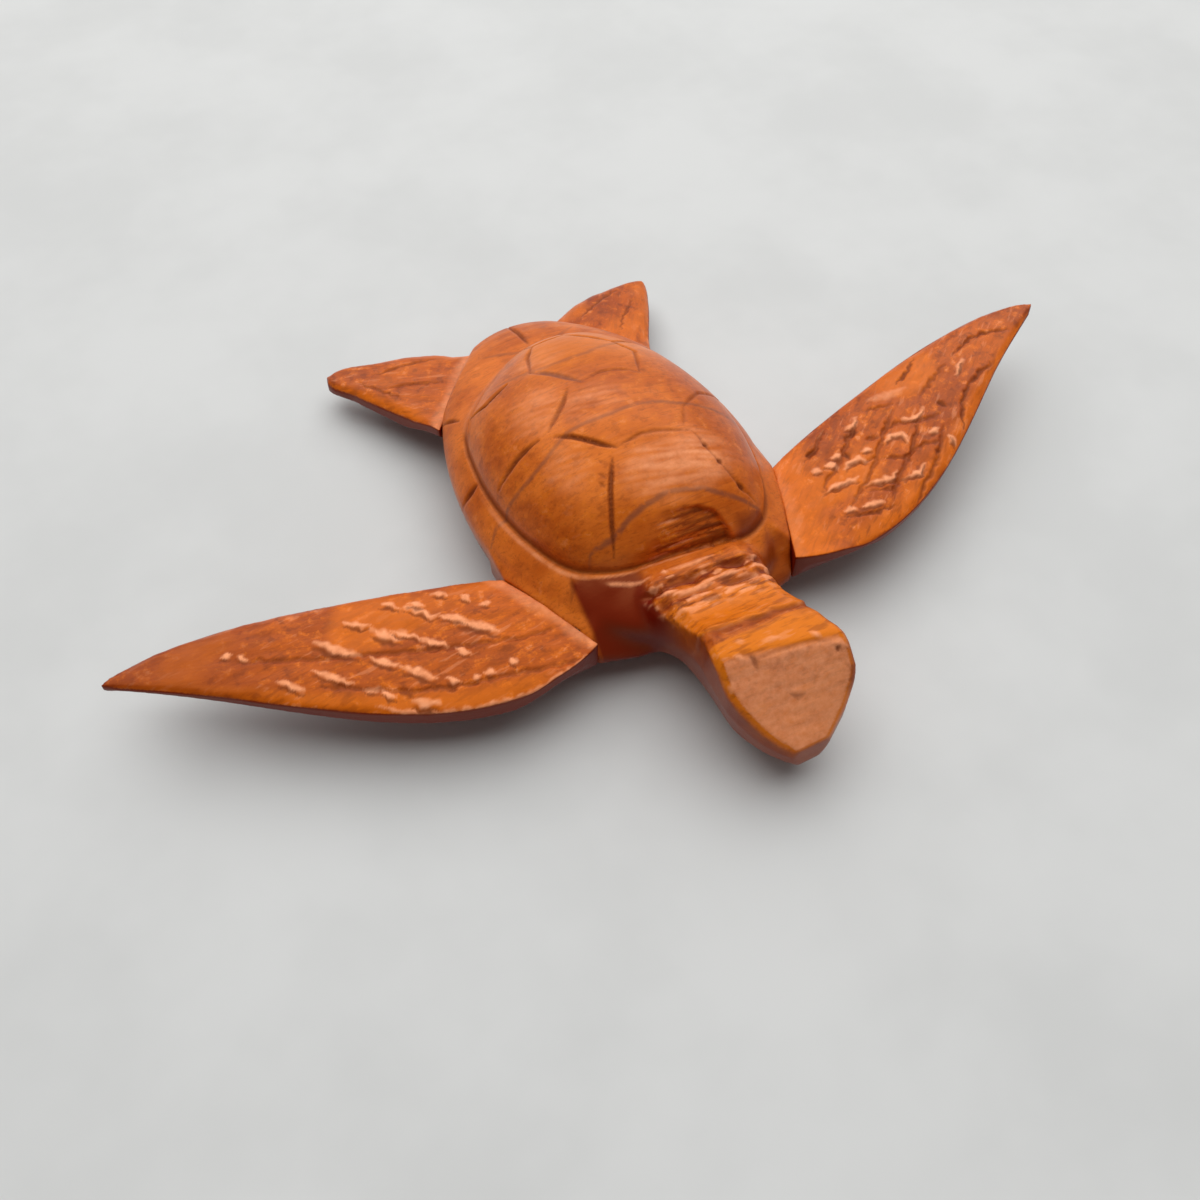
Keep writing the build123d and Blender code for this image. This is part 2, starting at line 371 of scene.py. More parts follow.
@dataclass(frozen=True)
class TableFinish:
    """Plain pale table top, a little uneven in tone."""

    name: str = "pale_table"
    light: Colour = (0.67, 0.675, 0.665)
    dark: Colour = (0.62, 0.625, 0.615)
    roughness: float = 0.7

    def material(self) -> bpy.types.Material:
        """Build the node material.

        Returns:
            The material.
        """
        bench = Bench(bpy.data.materials.new(self.name))
        cloud = bench.noise(bench.placed(0.0, EVEN), Lumps.TABLE)
        colour = bench.mix(cloud.ramp(0.35, 0.65), self.light, self.dark)
        return bench.skin({"Base Color": colour, "Roughness": self.roughness})


# Workshop


def deselect() -> None:
    """Deselect every object."""
    bpy.ops.object.select_all(action="DESELECT")


def pick(piece: bpy.types.Object) -> None:
    """Select one object and make it active."""
    deselect()
    piece.select_set(True)
    bpy.context.view_layer.objects.active = piece


def finish_with(piece: bpy.types.Object, kind: str, **settings: object) -> None:
    """Add one modifier and apply it.

    Args:
        piece: The object.
        kind: The modifier's type.
        **settings: Its properties.
    """
    pick(piece)
    step = piece.modifiers.new(kind.lower(), kind)
    for key, value in settings.items():
        setattr(step, key, value)
    bpy.ops.object.modifier_apply(modifier=step.name)


def turn_out(piece: bpy.types.Object) -> None:
    """Merge doubles and point every face outwards."""
    pick(piece)
    bpy.ops.object.mode_set(mode="EDIT")
    bpy.ops.mesh.select_all(action="SELECT")
    bpy.ops.mesh.remove_doubles(threshold=NEAR_MM * MM)
    bpy.ops.mesh.normals_make_consistent(inside=False)
    bpy.ops.object.mode_set(mode="OBJECT")


def dress(piece: bpy.types.Object, finish: WoodFinish | DowelFinish | TableFinish) -> None:
    """Give a piece one finish and no other."""
    piece.data.materials.clear()
    piece.data.materials.append(finish.material())


def place_corners(piece: bpy.types.Object, corners: list[Place]) -> None:
    """Move the selected vertices of an open edit mesh, in index order, to places in mm.

    Args:
        piece: The object in edit mode.
        corners: One place for each selected vertex.
    """
    mesh = bmesh.from_edit_mesh(piece.data)
    chosen = sorted((v for v in mesh.verts if v.select), key=lambda v: v.index)
    for vertex, corner in zip(chosen, corners, strict=True):
        vertex.co = Vector(corner) * MM
    bmesh.update_edit_mesh(piece.data)


def open_block(corners: list[Place]) -> bpy.types.Object:
    """Start a block with its first face, and leave it in edit mode with that face selected.

    Args:
        corners: The face's corners, in mm.

    Returns:
        The block.
    """
    deselect()
    bpy.ops.mesh.primitive_circle_add(vertices=len(corners), radius=MM, fill_type="NGON")
    block = bpy.context.object
    bpy.ops.object.mode_set(mode="EDIT")
    bpy.ops.mesh.select_all(action="SELECT")
    place_corners(block, corners)
    return block


def draw_out(x: float, y: float, z: float) -> None:
    """Extrude what is selected by a distance in mm."""
    bpy.ops.mesh.extrude_region_move(TRANSFORM_OT_translate={"value": (x * MM, y * MM, z * MM)})


def close_block(block: bpy.types.Object) -> bpy.types.Object:
    """Leave edit mode, point every face outwards and give the block back."""
    bpy.ops.object.mode_set(mode="OBJECT")
    turn_out(block)
    return block


def weigh(piece: bpy.types.Object, weights: np.ndarray) -> str:
    """Store a weight for each vertex as the piece's only vertex group.

    Args:
        piece: The object.
        weights: 0 to 1 for each vertex.

    Returns:
        The group's name.
    """
    piece.vertex_groups.clear()
    group = piece.vertex_groups.new(name="weights")
    for index in np.nonzero(weights > 0.01)[0]:
        group.add([int(index)], float(weights[index]), "REPLACE")
    return group.name


def fade(low: float, high: float, value: np.ndarray) -> np.ndarray:
    """Smooth step of an array, from 0 at low to 1 at high; low may be the larger."""
    share = np.clip((value - low) / (high - low), 0.0, 1.0)
    return share * share * (3.0 - 2.0 * share)


def rough_noise(places: np.ndarray, scale: Place | float, seed: float) -> np.ndarray:
    """Smooth noise from -1 to 1 at each place in mm; the scale is in lumps per mm."""
    stretched = places * np.array(scale) + seed
    return np.array([noise.noise(Vector(place)) for place in stretched])


# Carving


@dataclass(frozen=True)
class Stroke:
    """One knife or gouge stroke, as a line in plan, in mm; a negative depth raises a ridge."""

    points: Line
    width: float
    depth: float
    stain: float = 0.0
    pale: float = 0.0
    ring: float = 0.0
    tip_width: float = 0.45
    tip_length: float = 2.5
    tip_share: float = 0.4

    def nearness(self, plan: np.ndarray) -> np.ndarray:
        """How near each plan point is to the stroke's line.

        Args:
            plan: Points in plan, in mm.

        Returns:
            1 on the line, falling to 0 at half the width, thinner at the two ends.
        """
        points = np.array(self.points)
        runs = np.hypot(*(points[1:] - points[:-1]).T)
        whole = runs.sum()
        best = np.full(len(plan), np.inf)
        place = np.zeros(len(plan))
        gone = 0.0
        for start, end, run in zip(points[:-1], points[1:], runs):
            step = (end - start) / run
            along = np.clip((plan - start) @ step, 0.0, run)
            away = np.hypot(*(plan - start - along[:, None] * step).T)
            nearer = away < best
            best[nearer] = away[nearer]
            place[nearer] = gone + along[nearer]
            gone += run
        ends = np.minimum(place, whole - place)
        tip = min(self.tip_length, self.tip_share * whole)
        taper = self.tip_width + (1.0 - self.tip_width) * np.clip(ends / tip, 0.0, 1.0)
        return np.clip(1.0 - best / (0.5 * self.width * taper), 0.0, 1.0) * taper


def rows(
    width: float,
    depth: float,
    *lines: Line,
    stain: float = 0.0,
    pale: float = 0.0,
    ring: float = 0.0,
) -> tuple[Stroke, ...]:
    """Strokes of one kind."""
    return tuple(Stroke(line, width, depth, stain, pale, ring) for line in lines)


def chips(width: float, height: float, shadow_offset: Point, *lines: Line) -> tuple[Stroke, ...]:
    """Raised chips laid pale as painted highlights, each with a shallow stained cut to one side as
    its painted shadow.
    """
    cuts = [tuple((x + shadow_offset[0], y + shadow_offset[1]) for x, y in line) for line in lines]
    return rows(0.7 * width, 0.14, *cuts, stain=0.75) + rows(width, -height, *lines, pale=1.0)


class Carver:
    """Works on a finished mesh as arrays, in mm, and stores its colour marks, among them where
    stain collects and where shade and highlights are painted.
    """

    def __init__(self, piece: bpy.types.Object) -> None:
        """Read the mesh.

        Args:
            piece: The object, at the origin.
        """
        self.piece = piece
        count = len(piece.data.vertices)
        self.at, self.facing = np.zeros(count * 3), np.zeros(count * 3)
        piece.data.vertices.foreach_get("co", self.at)
        piece.data.vertices.foreach_get("normal", self.facing)
        self.at = self.at.reshape(-1, 3) / MM
        self.facing = self.facing.reshape(-1, 3)
        self.start = self.at.copy()
        self.marks = {name: np.zeros(count) for name in MARKS}

    def mark(self, name: str, amount: np.ndarray) -> None:
        """Keep the larger of a stored mark and a new one."""
        self.marks[name] = np.maximum(self.marks[name], amount)

    def sink(self, amount: np.ndarray, direction: np.ndarray | None = None) -> None:
        """Move the surface by an amount in mm, against its normal or in a given direction."""
        way = -self.facing if direction is None else direction
        self.at += way * amount[:, None]

    def cut(
        self, strokes: tuple[Stroke, ...], where: np.ndarray, plan: np.ndarray | None = None
    ) -> None:
        """Cut or raise strokes.

        Args:
            strokes: The strokes.
            where: 0 to 1, how much of a stroke each vertex takes.
            plan: Plan place of each vertex in the strokes' own frame, or None for the turtle's.
        """
        plan = self.start[:, :2] if plan is None else plan
        for stroke in strokes:
            near = stroke.nearness(plan) * where
            self.sink(near * stroke.depth)
            for name, spread in SPREADS.items():
                self.mark(name, np.clip(near * spread, 0.0, 1.0) * getattr(stroke, name))

    def store(self, finish: WoodFinish) -> bpy.types.Object:
        """Write places and marks back to the mesh, and dress it.

        Args:
            finish: The piece's finish.

        Returns:
            The piece.
        """
        mesh = self.piece.data
        mesh.vertices.foreach_set("co", (self.at * MM).astype(np.float32).ravel())
        for name, values in self.marks.items():
            layer = mesh.attributes.new(name, "FLOAT", "POINT")
            layer.data.foreach_set("value", values.astype(np.float32))
        mesh.update()
        for face in mesh.polygons:
            face.use_smooth = True
        dress(self.piece, finish)
        return self.piece


# Sizes of the shell


@dataclass(frozen=True)
class Egg:
    """An egg in plan, blunt in front and long behind, in mm, with a hand-cut line.

    The swell lists how far the line strays from a true egg, as pairs of an angle in degrees
    from +X and a factor.
    """

    half_width: float
    front: float
    back: float
    swell: Line = ((0.0, 1.0),)
    blur: float = 4.0

    def length(self, along: np.ndarray) -> np.ndarray:
        """Half length of the egg towards each place: its back or its front."""
        return np.where(along > 0.0, self.back, self.front)

    def factor(self, at: np.ndarray) -> np.ndarray:
        """How far the line strays in the direction of each place, as a factor about 1."""
        turns = np.degrees(np.arctan2(at[:, 1], at[:, 0]))
        angles, factors = zip(*self.swell)
        shifts = self.blur * np.arange(-2, 3)
        return sum(np.interp(turns + k, angles, factors, period=360) for k in shifts) / 5

    def rim_share(self, at: np.ndarray) -> np.ndarray:
        """Share of the way from the middle to the egg's line at each place."""
        length = self.length(at[:, 1])
        return np.hypot(at[:, 0] / self.half_width, at[:, 1] / length) / self.factor(at)

    def distance(self, at: np.ndarray) -> np.ndarray:
        """Signed distance in plan from the egg's line, positive outside."""
        ring = self.rim_share(at) + 1e-6
        slope = np.linalg.norm(self.steepest(at), axis=1) / ring + 1e-6
        return (ring - 1.0) / slope / self.factor(at) ** 2

    def steepest(self, at: np.ndarray) -> np.ndarray:
        """Vectors in plan that point straight out of the egg."""
        length = self.length(at[:, 1])
        return np.stack(
            [at[:, 0] / self.half_width**2, at[:, 1] / length**2, np.zeros(len(at))], axis=1
        )

    def inwards(self, at: np.ndarray) -> np.ndarray:
        """Unit vectors in plan that point into the egg."""
        way = -self.steepest(at)
        return way / (np.linalg.norm(way, axis=1)[:, None] + 1e-9)

    def around(self, segments: int) -> np.ndarray:
        """Places along the egg's line.

        Args:
            segments: How many.

        Returns:
            Places at height 0, in mm.
        """
        turns = np.linspace(0.0, 2 * math.pi, segments, endpoint=False)
        across, along = np.cos(turns), np.sin(turns)
        length = self.length(along)
        line = np.stack([self.half_width * across, length * along, np.zeros(segments)], axis=1)
        return line * self.factor(line)[:, None]

    def place(self, share: Point) -> Point:
        """Plan place of a point given as shares of the egg's sizes."""
        return share[0] * self.half_width, share[1] * float(self.length(share[1]))


RIM = Egg(23.2, 30.2, 38.0)
DOME = Egg(
    20.2, 24.4, 28.4,
    (
        (0.0, 1.0), (30.0, 0.98), (75.0, 0.98), (95.0, 0.95), (108.0, 0.92), (122.0, 0.95),
        (134.0, 1.01), (142.0, 1.035), (150.0, 1.0), (172.0, 0.975), (190.0, 0.955),
        (211.0, 0.955), (226.0, 0.985), (235.0, 0.95), (246.0, 0.89), (258.0, 0.845),
        (272.0, 0.84), (284.0, 0.90), (292.0, 1.0), (299.0, 1.08), (307.0, 1.10),
        (320.0, 1.06), (340.0, 1.01),
    ),
)
DOME_FOOT = 14.6
DOME_HEIGHT = 11.0


@dataclass(frozen=True)
class Seat:
    """The flat that a flipper's root is glued to, with its two dowels."""

    fore: Point
    aft: Point
    height: float
    dowel_radius: float
    dowel_reach: float
    dowel_spacing: float
    pared_reach: float = 12.0
    pared_height: float = 40.0
    bore_sides: int = 32

    @property
    def middle(self) -> Vector:
        """Middle of the seat, in mm."""
        (x0, y0), (x1, y1) = self.fore, self.aft
        return Vector(((x0 + x1) / 2, (y0 + y1) / 2, self.height))

    @property
    def along(self) -> Vector:
        """Unit vector from its fore end to its aft end."""
        (x0, y0), (x1, y1) = self.fore, self.aft
        return Vector((x1 - x0, y1 - y0, 0)).normalized()

    @property
    def outward(self) -> Vector:
        """Unit vector out of the body."""
        return Vector((self.along.y, -self.along.x, 0))

    def turn(self, side: Side) -> float:
        """Direction out of the body on one side, as an angle about Z."""
        return math.atan2(self.outward.y, self.outward.x * side.value)

    def cutters(self, side: Side) -> list[bpy.types.Object]:
        """Bores for the dowels and the block that is pared off outside the seat.

        Args:
            side: Which side of the turtle.

        Returns:
            The cutters.
        """
        flip = Vector((side.value, 1, 1))
        made = []
        for shift in (-self.dowel_spacing / 2, self.dowel_spacing / 2):
            deselect()
            bpy.ops.mesh.primitive_cylinder_add(
                vertices=self.bore_sides,
                radius=self.dowel_radius * MM,
                depth=2 * self.dowel_reach * MM,
                location=(self.middle + self.along * shift) * flip * MM,
                rotation=(self.outward * flip).to_track_quat("Z", "Y").to_euler(),
            )
            made.append(bpy.context.object)
        deselect()
        bpy.ops.mesh.primitive_cube_add(
            size=MM,
            location=(self.middle + self.outward * self.pared_reach / 2) * flip * MM,
            rotation=(0, 0, self.turn(side)),
            scale=(self.pared_reach, math.dist(self.fore, self.aft), self.pared_height),
        )
        made.append(bpy.context.object)
        for cutter in made:
            pick(cutter)
            bpy.ops.object.transform_apply(location=True, rotation=True, scale=True)
        return made


FRONT_SEAT = Seat(RIM.place((0.698, -0.881)), RIM.place((0.991, -0.318)), 8.6, 1.52, 8.5, 9.0)
REAR_SEAT = Seat(RIM.place((0.836, 0.587)), RIM.place((0.319, 0.942)), 7.4, 1.27, 5.0, 7.0)


# The body


@dataclass
class Shell:
    """Belly, rim band and dome, drawn up ring by ring from one circle.

    The flank lists shares of the rim and heights. The band lists shares of the way from the rim
    to the dome's foot and heights.
    """

    segments: int = 180
    flank: Line = (
        (0.802, 0.0), (0.875, 2.0), (0.918, 3.6), (0.944, 4.8), (0.974, 6.8), (0.991, 8.4),
        (0.999, 9.6), (1.000, 10.4), (0.994, 11.2),
    )
    band: Line = ((0.20, 12.2), (0.42, 13.1), (0.64, 13.8), (0.84, 14.3), (1.00, 14.5))
    dome_steps: int = 22
    roundness: float = 1.16

    def levels(self) -> list[np.ndarray]:
        """Rings of the flank, the band and the dome, in mm, from the belly to the crown."""
        rim = RIM.around(self.segments)
        foot = DOME.around(self.segments)
        up = np.array([0.0, 0.0, 1.0])
        rings = [rim * share + up * height for share, height in self.flank]
        rings += [rim * (1 - share) + foot * share + up * height for share, height in self.band]
        plain = Egg(DOME.half_width, DOME.front, DOME.back).around(self.segments)
        for step in range(1, self.dome_steps):
            turn = 0.5 * math.pi * step / self.dome_steps
            share = math.cos(turn)
            outline = foot * share + plain * (1 - share)
            climb = DOME_HEIGHT * math.sin(turn) ** self.roundness
            rings.append(outline * share + up * (DOME_FOOT + climb))
        return rings

    def build(self) -> bpy.types.Object:
        """Model the shell.

        Returns:
            The closed shell.
        """
        rings = self.levels()
        shell = open_block(rings[0])
        for ring in rings[1:]:
            draw_out(0, 0, 1)
            place_corners(shell, ring)
        draw_out(0, 0, DOME_FOOT + DOME_HEIGHT - rings[-1][0, 2])
        bpy.ops.mesh.merge(type="CENTER")
        return close_block(shell)


@dataclass
class Chest:
    """Squarer chest under the front of the shell, with the seats of the front flippers.

    The falls are the planes that run down from the dome's foot, as pairs of an angle in degrees
    from +X and a slope.
    """

    start: float = 4.5
    front: float = 28.8
    half_width: float = 10.0
    bottom: float = 6.0
    foot: float = 22.6
    foot_height: float = 5.0
    slope_top: float = 20.6
    edge_height: float = 11.0
    fall_start: float = 0.1
    fall_lean: float = 0.05
    falls: Line = (
        (196.0, 0.80), (212.0, 0.72), (226.0, 0.66), (306.0, 0.60), (322.0, 0.70), (342.0, 0.80),
    )
    draw_in: Place = (0.80, 0.84, 1.0)

    def build(self) -> bpy.types.Object:
        """Model the chest.

        Returns:
            The closed block.
        """
        fore, aft = FRONT_SEAT.fore, FRONT_SEAT.aft
        right = [(aft[0], -self.start), aft, fore, (self.half_width, -self.front)]
        plan = right + [(-x, y) for x, y in reversed(right)]
        chest = open_block([(x, y, self.bottom) for x, y in plan])
        draw_out(0, 0, DOME_FOOT - self.bottom)
        self.select_bottom(chest)
        draw_out(0, 0, -self.bottom)
        bpy.ops.transform.resize(value=self.draw_in, center_override=(0, 0, 0))
        rise, run = DOME_FOOT - self.foot_height, self.front - self.slope_top
        self.pare((0, -self.front, self.foot_height), (0, -rise, run))
        self.pare((0, -self.foot, 0), (0, -self.foot_height, self.foot - self.front))
        fall, out = DOME_FOOT - self.edge_height, aft[0] - DOME.half_width
        for side in Side:
            self.pare((side.value * DOME.half_width, 0, DOME_FOOT), (side.value * fall, 0, out))
        for turn, slope in self.falls:
            way = np.array([[math.cos(math.radians(turn)), math.sin(math.radians(turn)), 0.0]])
            foot = way[0] / DOME.rim_share(way)[0]
            out = slope * (way * self.fall_lean - DOME.inwards(way * DOME.half_width))[0]
            self.pare((foot[0], foot[1], DOME_FOOT - self.fall_start), (out[0], out[1], 1.0))
        return close_block(chest)

    def select_bottom(self, chest: bpy.types.Object) -> None:
        """Select the chest's lowest face in edit mode.

        Args:
            chest: The open block.
        """
        bpy.ops.mesh.select_all(action="DESELECT")
        mesh = bmesh.from_edit_mesh(chest.data)
        for face in mesh.faces:
            if all(abs(v.co.z / MM - self.bottom) < NEAR_MM for v in face.verts):
                face.select = True
        bmesh.update_edit_mesh(chest.data)

    def pare(self, place: Place, facing: Place) -> None:
        """Cut off everything beyond a plane through a place in mm, on the side that it faces."""
        bpy.ops.mesh.select_all(action="SELECT")
        bpy.ops.mesh.bisect(
            plane_co=Vector(place) * MM,
            plane_no=Vector(facing).normalized(),
            use_fill=True,
            clear_outer=True,
        )


@dataclass(frozen=True)
class Section:
    """One section through the neck or head, in mm.

    Its corners are half widths and heights. The shift is to the turtle's left, and the skew is how
    much further forward the left end is for each mm across.
    """

    forward: float
    shift: float
    skew: float
    top: Point
    bevel: Point
    cheek: Point
    jaw: Point
    throat: Point


@dataclass
class NeckAndHead:
    """Neck and head, drawn forward from a ten-cornered section."""

    steps: int = 26
    sections: tuple[Section, ...] = (
        Section(20.0, 0.8, 0.0, (6.8, 15.0), (9.6, 13.4), (11.4, 10.0), (10.6, 5.4), (8.0, 1.6)),
        Section(27.0, 1.0, 0.0, (6.6, 16.3), (9.0, 14.8), (10.3, 10.5), (9.2, 5.8), (6.2, 2.4)),
        Section(33.0, 1.3, 0.06, (6.0, 17.4), (7.7, 16.4), (8.2, 11.5), (7.2, 7.0), (4.6, 4.0)),
        Section(39.0, 1.7, 0.20, (6.9, 20.1), (8.0, 19.2), (8.3, 13.6), (7.4, 8.0), (4.6, 4.4)),
        Section(42.6, 2.0, 0.24, (8.0, 20.0), (8.9, 19.1), (8.9, 13.6), (7.6, 7.8), (4.6, 4.2)),
        Section(46.0, 2.0, 0.22, (8.0, 17.4), (8.9, 16.6), (8.7, 12.4), (7.5, 7.4), (4.6, 4.0)),
        Section(50.4, 1.9, 0.12, (5.5, 13.0), (6.2, 12.3), (6.2, 9.8), (5.2, 6.6), (3.4, 4.2)),
        Section(53.3, 1.8, 0.0, (2.2, 10.2), (2.7, 9.6), (2.8, 8.4), (2.4, 6.8), (1.6, 5.6)),
    )

    def between(self, forward: float) -> list[Place]:
        """Corners of the section at a distance forward.

        Args:
            forward: Distance in front of the origin, in mm.

        Returns:
            Ten corners, round the section.
        """
        table = np.array([np.hstack(astuple(section)) for section in self.sections])
        shift, skew, *half = self.eased(table[:, 0], table[:, 1:], forward)
        right = list(zip(half[::2], half[1::2]))
        both = right + [(-x, z) for x, z in reversed(right)]
        return [(x + shift, -forward - skew * x, z) for x, z in both]

    def eased(self, known: np.ndarray, values: np.ndarray, at: float) -> np.ndarray:
        """Interpolate every column without overshoot.

        Args:
            known: Where the values are known.
            values: A row of values for each of those.
            at: Where a row is wanted.

        Returns:
            The row there.
        """
        slopes = np.diff(values, axis=0) / np.diff(known)[:, None]
        product, total = slopes[:-1] * slopes[1:], slopes[:-1] + slopes[1:]
        steady = product > 0
        inner = np.where(steady, 2 * product / np.where(steady, total, 1.0), 0.0)
        tangents = np.vstack([slopes[:1], inner, slopes[-1:]])
        k = int(np.clip(np.searchsorted(known, at) - 1, 0, len(slopes) - 1))
        run = known[k + 1] - known[k]
        t = (at - known[k]) / run
        return (
            (2 * t**3 - 3 * t**2 + 1) * values[k]
            + (t**3 - 2 * t**2 + t) * run * tangents[k]
            + (-2 * t**3 + 3 * t**2) * values[k + 1]
            + (t**3 - t**2) * run * tangents[k + 1]
        )

    def build(self) -> bpy.types.Object:
        """Model the neck and head.

        Returns:
            The closed block.
        """
        first, last = self.sections[0].forward, self.sections[-1].forward
        head = open_block(self.between(first))
        for after in np.linspace(first, last, self.steps)[1:]:
            draw_out(0, -1, 0)
            place_corners(head, self.between(float(after)))
        return close_block(head)


DOME_STROKES = (
    Stroke(((-4.1, -7.6), (-6.5, -11.6), (-8.3, -15.4), (-9.4, -18.2)), 0.95, 0.5, stain=0.85),
    Stroke(
        ((-2.7, -6.4), (-4.2, -5.1), (-5.6, -3.4), (-7.4, -1.3), (-9.4, 0.2)),
        1.1, 0.55, stain=0.9,
    ),
    Stroke(
        ((-11.4, 1.4), (-13.0, 1.4), (-15.1, 1.2), (-16.8, 0.7), (-18.5, 0.2)),
        1.1, 0.5, stain=0.85,
    ),
    Stroke(((-3.6, 7.3), (-5.7, 4.9), (-7.5, 3.4), (-9.7, 1.6)), 0.9, 0.35, stain=0.65),
    Stroke(((-1.2, 7.4), (-2.7, 9.7), (-4.3, 12.5), (-6.2, 14.9)), 1.3, 0.3, ring=0.8),
    Stroke(((-0.6, 7.6), (1.8, 8.1), (4.1, 7.9), (6.6, 7.0), (7.8, 6.0)), 0.8, 0.25, stain=0.5),
    Stroke(
        ((-2.4, -6.3), (-0.5, -6.1), (1.5, -5.8), (3.9, -6.2), (8.8, -7.5)),
        0.75, 0.22, stain=0.5,
    ),
    *rows(
        0.75, 0.22,
        ((8.8, -7.5), (9.3, -8.6), (9.5, -10.4), (10.2, -13.3)),
        ((10.2, -13.3), (10.9, -15.2), (11.6, -17.2), (13.3, -19.0)),
        stain=0.35,
    ),
    *rows(
        1.2, 0.3,
        ((9.4, -9.9), (9.7, -10.8)),
        ((10.1, -12.8), (10.4, -13.7)),
        ((11.5, -16.6), (12.0, -17.9)),
        stain=0.9,
    ),
    Stroke(((10.3, -2.8), (9.3, -4.6), (8.2, -6.4)), 0.8, 0.12, stain=0.3),
    *rows(
        0.7, 0.15,
        ((-6.0, -6.9), (-5.6, -7.8)),
        ((-6.8, -8.7), (-6.3, -9.8)),
        ((-7.4, -9.9), (-7.0, -10.9)),
        stain=0.4,
    ),
    Stroke(((-9.8, 15.8), (-11.7, 15.4), (-14.0, 14.8), (-16.2, 15.6)), 1.1, 0.6, stain=0.9),
    *rows(
        0.8, 0.3,
        ((10.3, -2.8), (14.6, 0.2), (19.4, 1.4)),
        ((7.8, 6.0), (10.2, 12.0), (8.4, 16.4)),
        stain=0.5,
    ),
    Stroke(((8.4, 16.4), (12.6, 16.6), (17.0, 15.2)), 0.9, 0.5, stain=0.7),
    *rows(
        0.8, 0.35,
        ((8.4, 16.4), (5.4, 19.8), (3.2, 22.6)),
        ((-6.2, 14.9), (-4.6, 19.4), (-2.4, 22.4)),
        ((-2.4, 22.4), (3.2, 22.6)),
        stain=0.6,
    ),
    *rows(
        0.8, 0.4,
        ((-2.4, 22.4), (-3.6, 26.6)),
        ((3.2, 22.6), (4.4, 26.6)),
        stain=0.7,
    ),
)
RING_STROKES = (
    Stroke(
        ((-22.5, -4.6), (-21.9, -4.1), (-20.8, -3.1), (-17.6, -3.1), (-15.3, -3.1), (-12.2, -2.3),
         (-9.6, -1.3), (-7.7, -0.4), (-4.1, -0.4), (-0.5, -0.7), (3.3, -0.5), (6.7, -1.2),
         (10.1, -2.1), (13.5, -3.0), (15.7, -3.6), (20.0, -5.0)),
        0.9, 0.0, ring=0.6,
    ),
    Stroke(
        ((-12.8, -17.2), (-12.4, -16.6), (-11.1, -16.6), (-9.0, -16.8), (-7.8, -16.5),
         (-5.7, -15.8), (-2.9, -15.3), (0.1, -15.1), (3.6, -15.5), (5.8, -16.2), (8.1, -17.4),
         (10.2, -18.6), (12.5, -19.6), (14.3, -19.9)),
        1.0, 0.0, ring=0.7,
    ),
    *rows(
        1.1, 0.0,
        ((-12.0, 17.6), (-4.0, 14.2), (3.0, 13.8), (10.0, 16.0), (15.0, 18.6)),
        ((-8.0, 31.0), (-2.0, 28.0), (4.0, 28.2), (9.0, 31.0)),
        ring=0.4,
    ),
)
BAND_STROKES = (
    Stroke(((-19.9, 5.4), (-21.4, 5.0), (-22.8, 4.8)), 1.1, 0.5, stain=0.9),
    Stroke(((-15.4, -16.6), (-15.9, -18.2), (-16.8, -19.2)), 0.9, 0.25, stain=0.5),
    Stroke(((21.0, 5.4), (22.0, 5.1), (23.0, 4.8)), 0.9, 0.5, stain=0.9),
    Stroke(((-17.0, 19.0), (-18.0, 20.6), (-19.0, 22.0)), 0.9, 0.4, stain=0.7),
    *rows(
        0.9, 0.5,
        ((16.6, 19.4), (18.0, 21.0), (19.6, 22.0)),
        ((0.0, 29.2), (0.2, 34.0), (0.0, 38.0)),
        stain=0.8,
    ),
)
# Stain cuts on top of the head, and raised ridges laid pale as painted highlights.
HEAD_STROKES = (
    Stroke(((-2.4, -42.3), (-2.1, -43.1), (-2.1, -44.0)), 1.1, 0.25, stain=0.5),
    Stroke(((-4.3, -41.5), (-3.2, -42.5)), 1.2, -0.2, pale=0.8),
    Stroke(((0.0, -41.4), (1.2, -41.5), (2.5, -41.8)), 1.1, -0.15, pale=0.6),
    Stroke(((6.4, -43.0), (7.4, -44.2)), 1.1, -0.15, pale=0.7),
    Stroke(((8.3, -45.4), (10.2, -46.4)), 1.1, -0.2, pale=0.8),
    Stroke(((-3.1, -39.9), (-2.0, -40.2)), 1.0, -0.15, pale=0.6),
    Stroke(((-6.4, -43.9), (-5.7, -44.8)), 1.0, -0.1, pale=0.7),
    Stroke(((8.7, -45.9), (9.0, -46.5)), 1.0, 0.3, stain=0.8),
    Stroke(
        ((-1.4, -43.0), (1.6, -43.4), (4.5, -43.8), (6.5, -44.3), (8.2, -45.2)),
        0.8, 0.12, stain=0.22,
    ),
    Stroke(((0.9, -47.7), (1.8, -48.4), (2.9, -48.4)), 0.8, 0.12, stain=0.35),
    Stroke(((1.1, -47.2), (1.9, -47.8), (2.7, -47.7)), 0.8, -0.1, pale=0.8),
)
# Raised ridges across the neck, laid pale as painted highlights.
NECK_STROKES = (
    Stroke(
        ((-12.8, -18.4), (-11.0, -20.3), (-9.1, -21.3), (-7.3, -22.2), (-5.9, -22.5)),
        0.9, -0.1, pale=0.7,
    ),
    Stroke(((-4.2, -22.6), (-3.4, -22.8)), 1.0, -0.25, pale=1.0),
    *rows(
        1.0, -0.15,
        ((-3.1, -22.7), (0.1, -23.2), (3.7, -23.3)),
        ((2.0, -27.5), (4.2, -27.7), (6.2, -27.9)),
        ((-5.7, -30.4), (-4.2, -30.5)),
        pale=0.7,
    ),
    Stroke(((-6.8, -25.9), (-5.8, -26.3), (-4.1, -26.6)), 1.1, -0.2, pale=0.9),
    Stroke(((-4.2, -27.7), (-2.9, -27.7), (-1.1, -27.8), (1.0, -28.0)), 1.2, -0.2, pale=0.9),
    Stroke(((-3.4, -30.3), (-2.2, -30.4), (0.8, -30.5)), 1.1, -0.15, pale=0.8),
    Stroke(((2.0, -30.1), (3.4, -30.4), (4.6, -30.6)), 0.9, -0.1, pale=0.6),
)


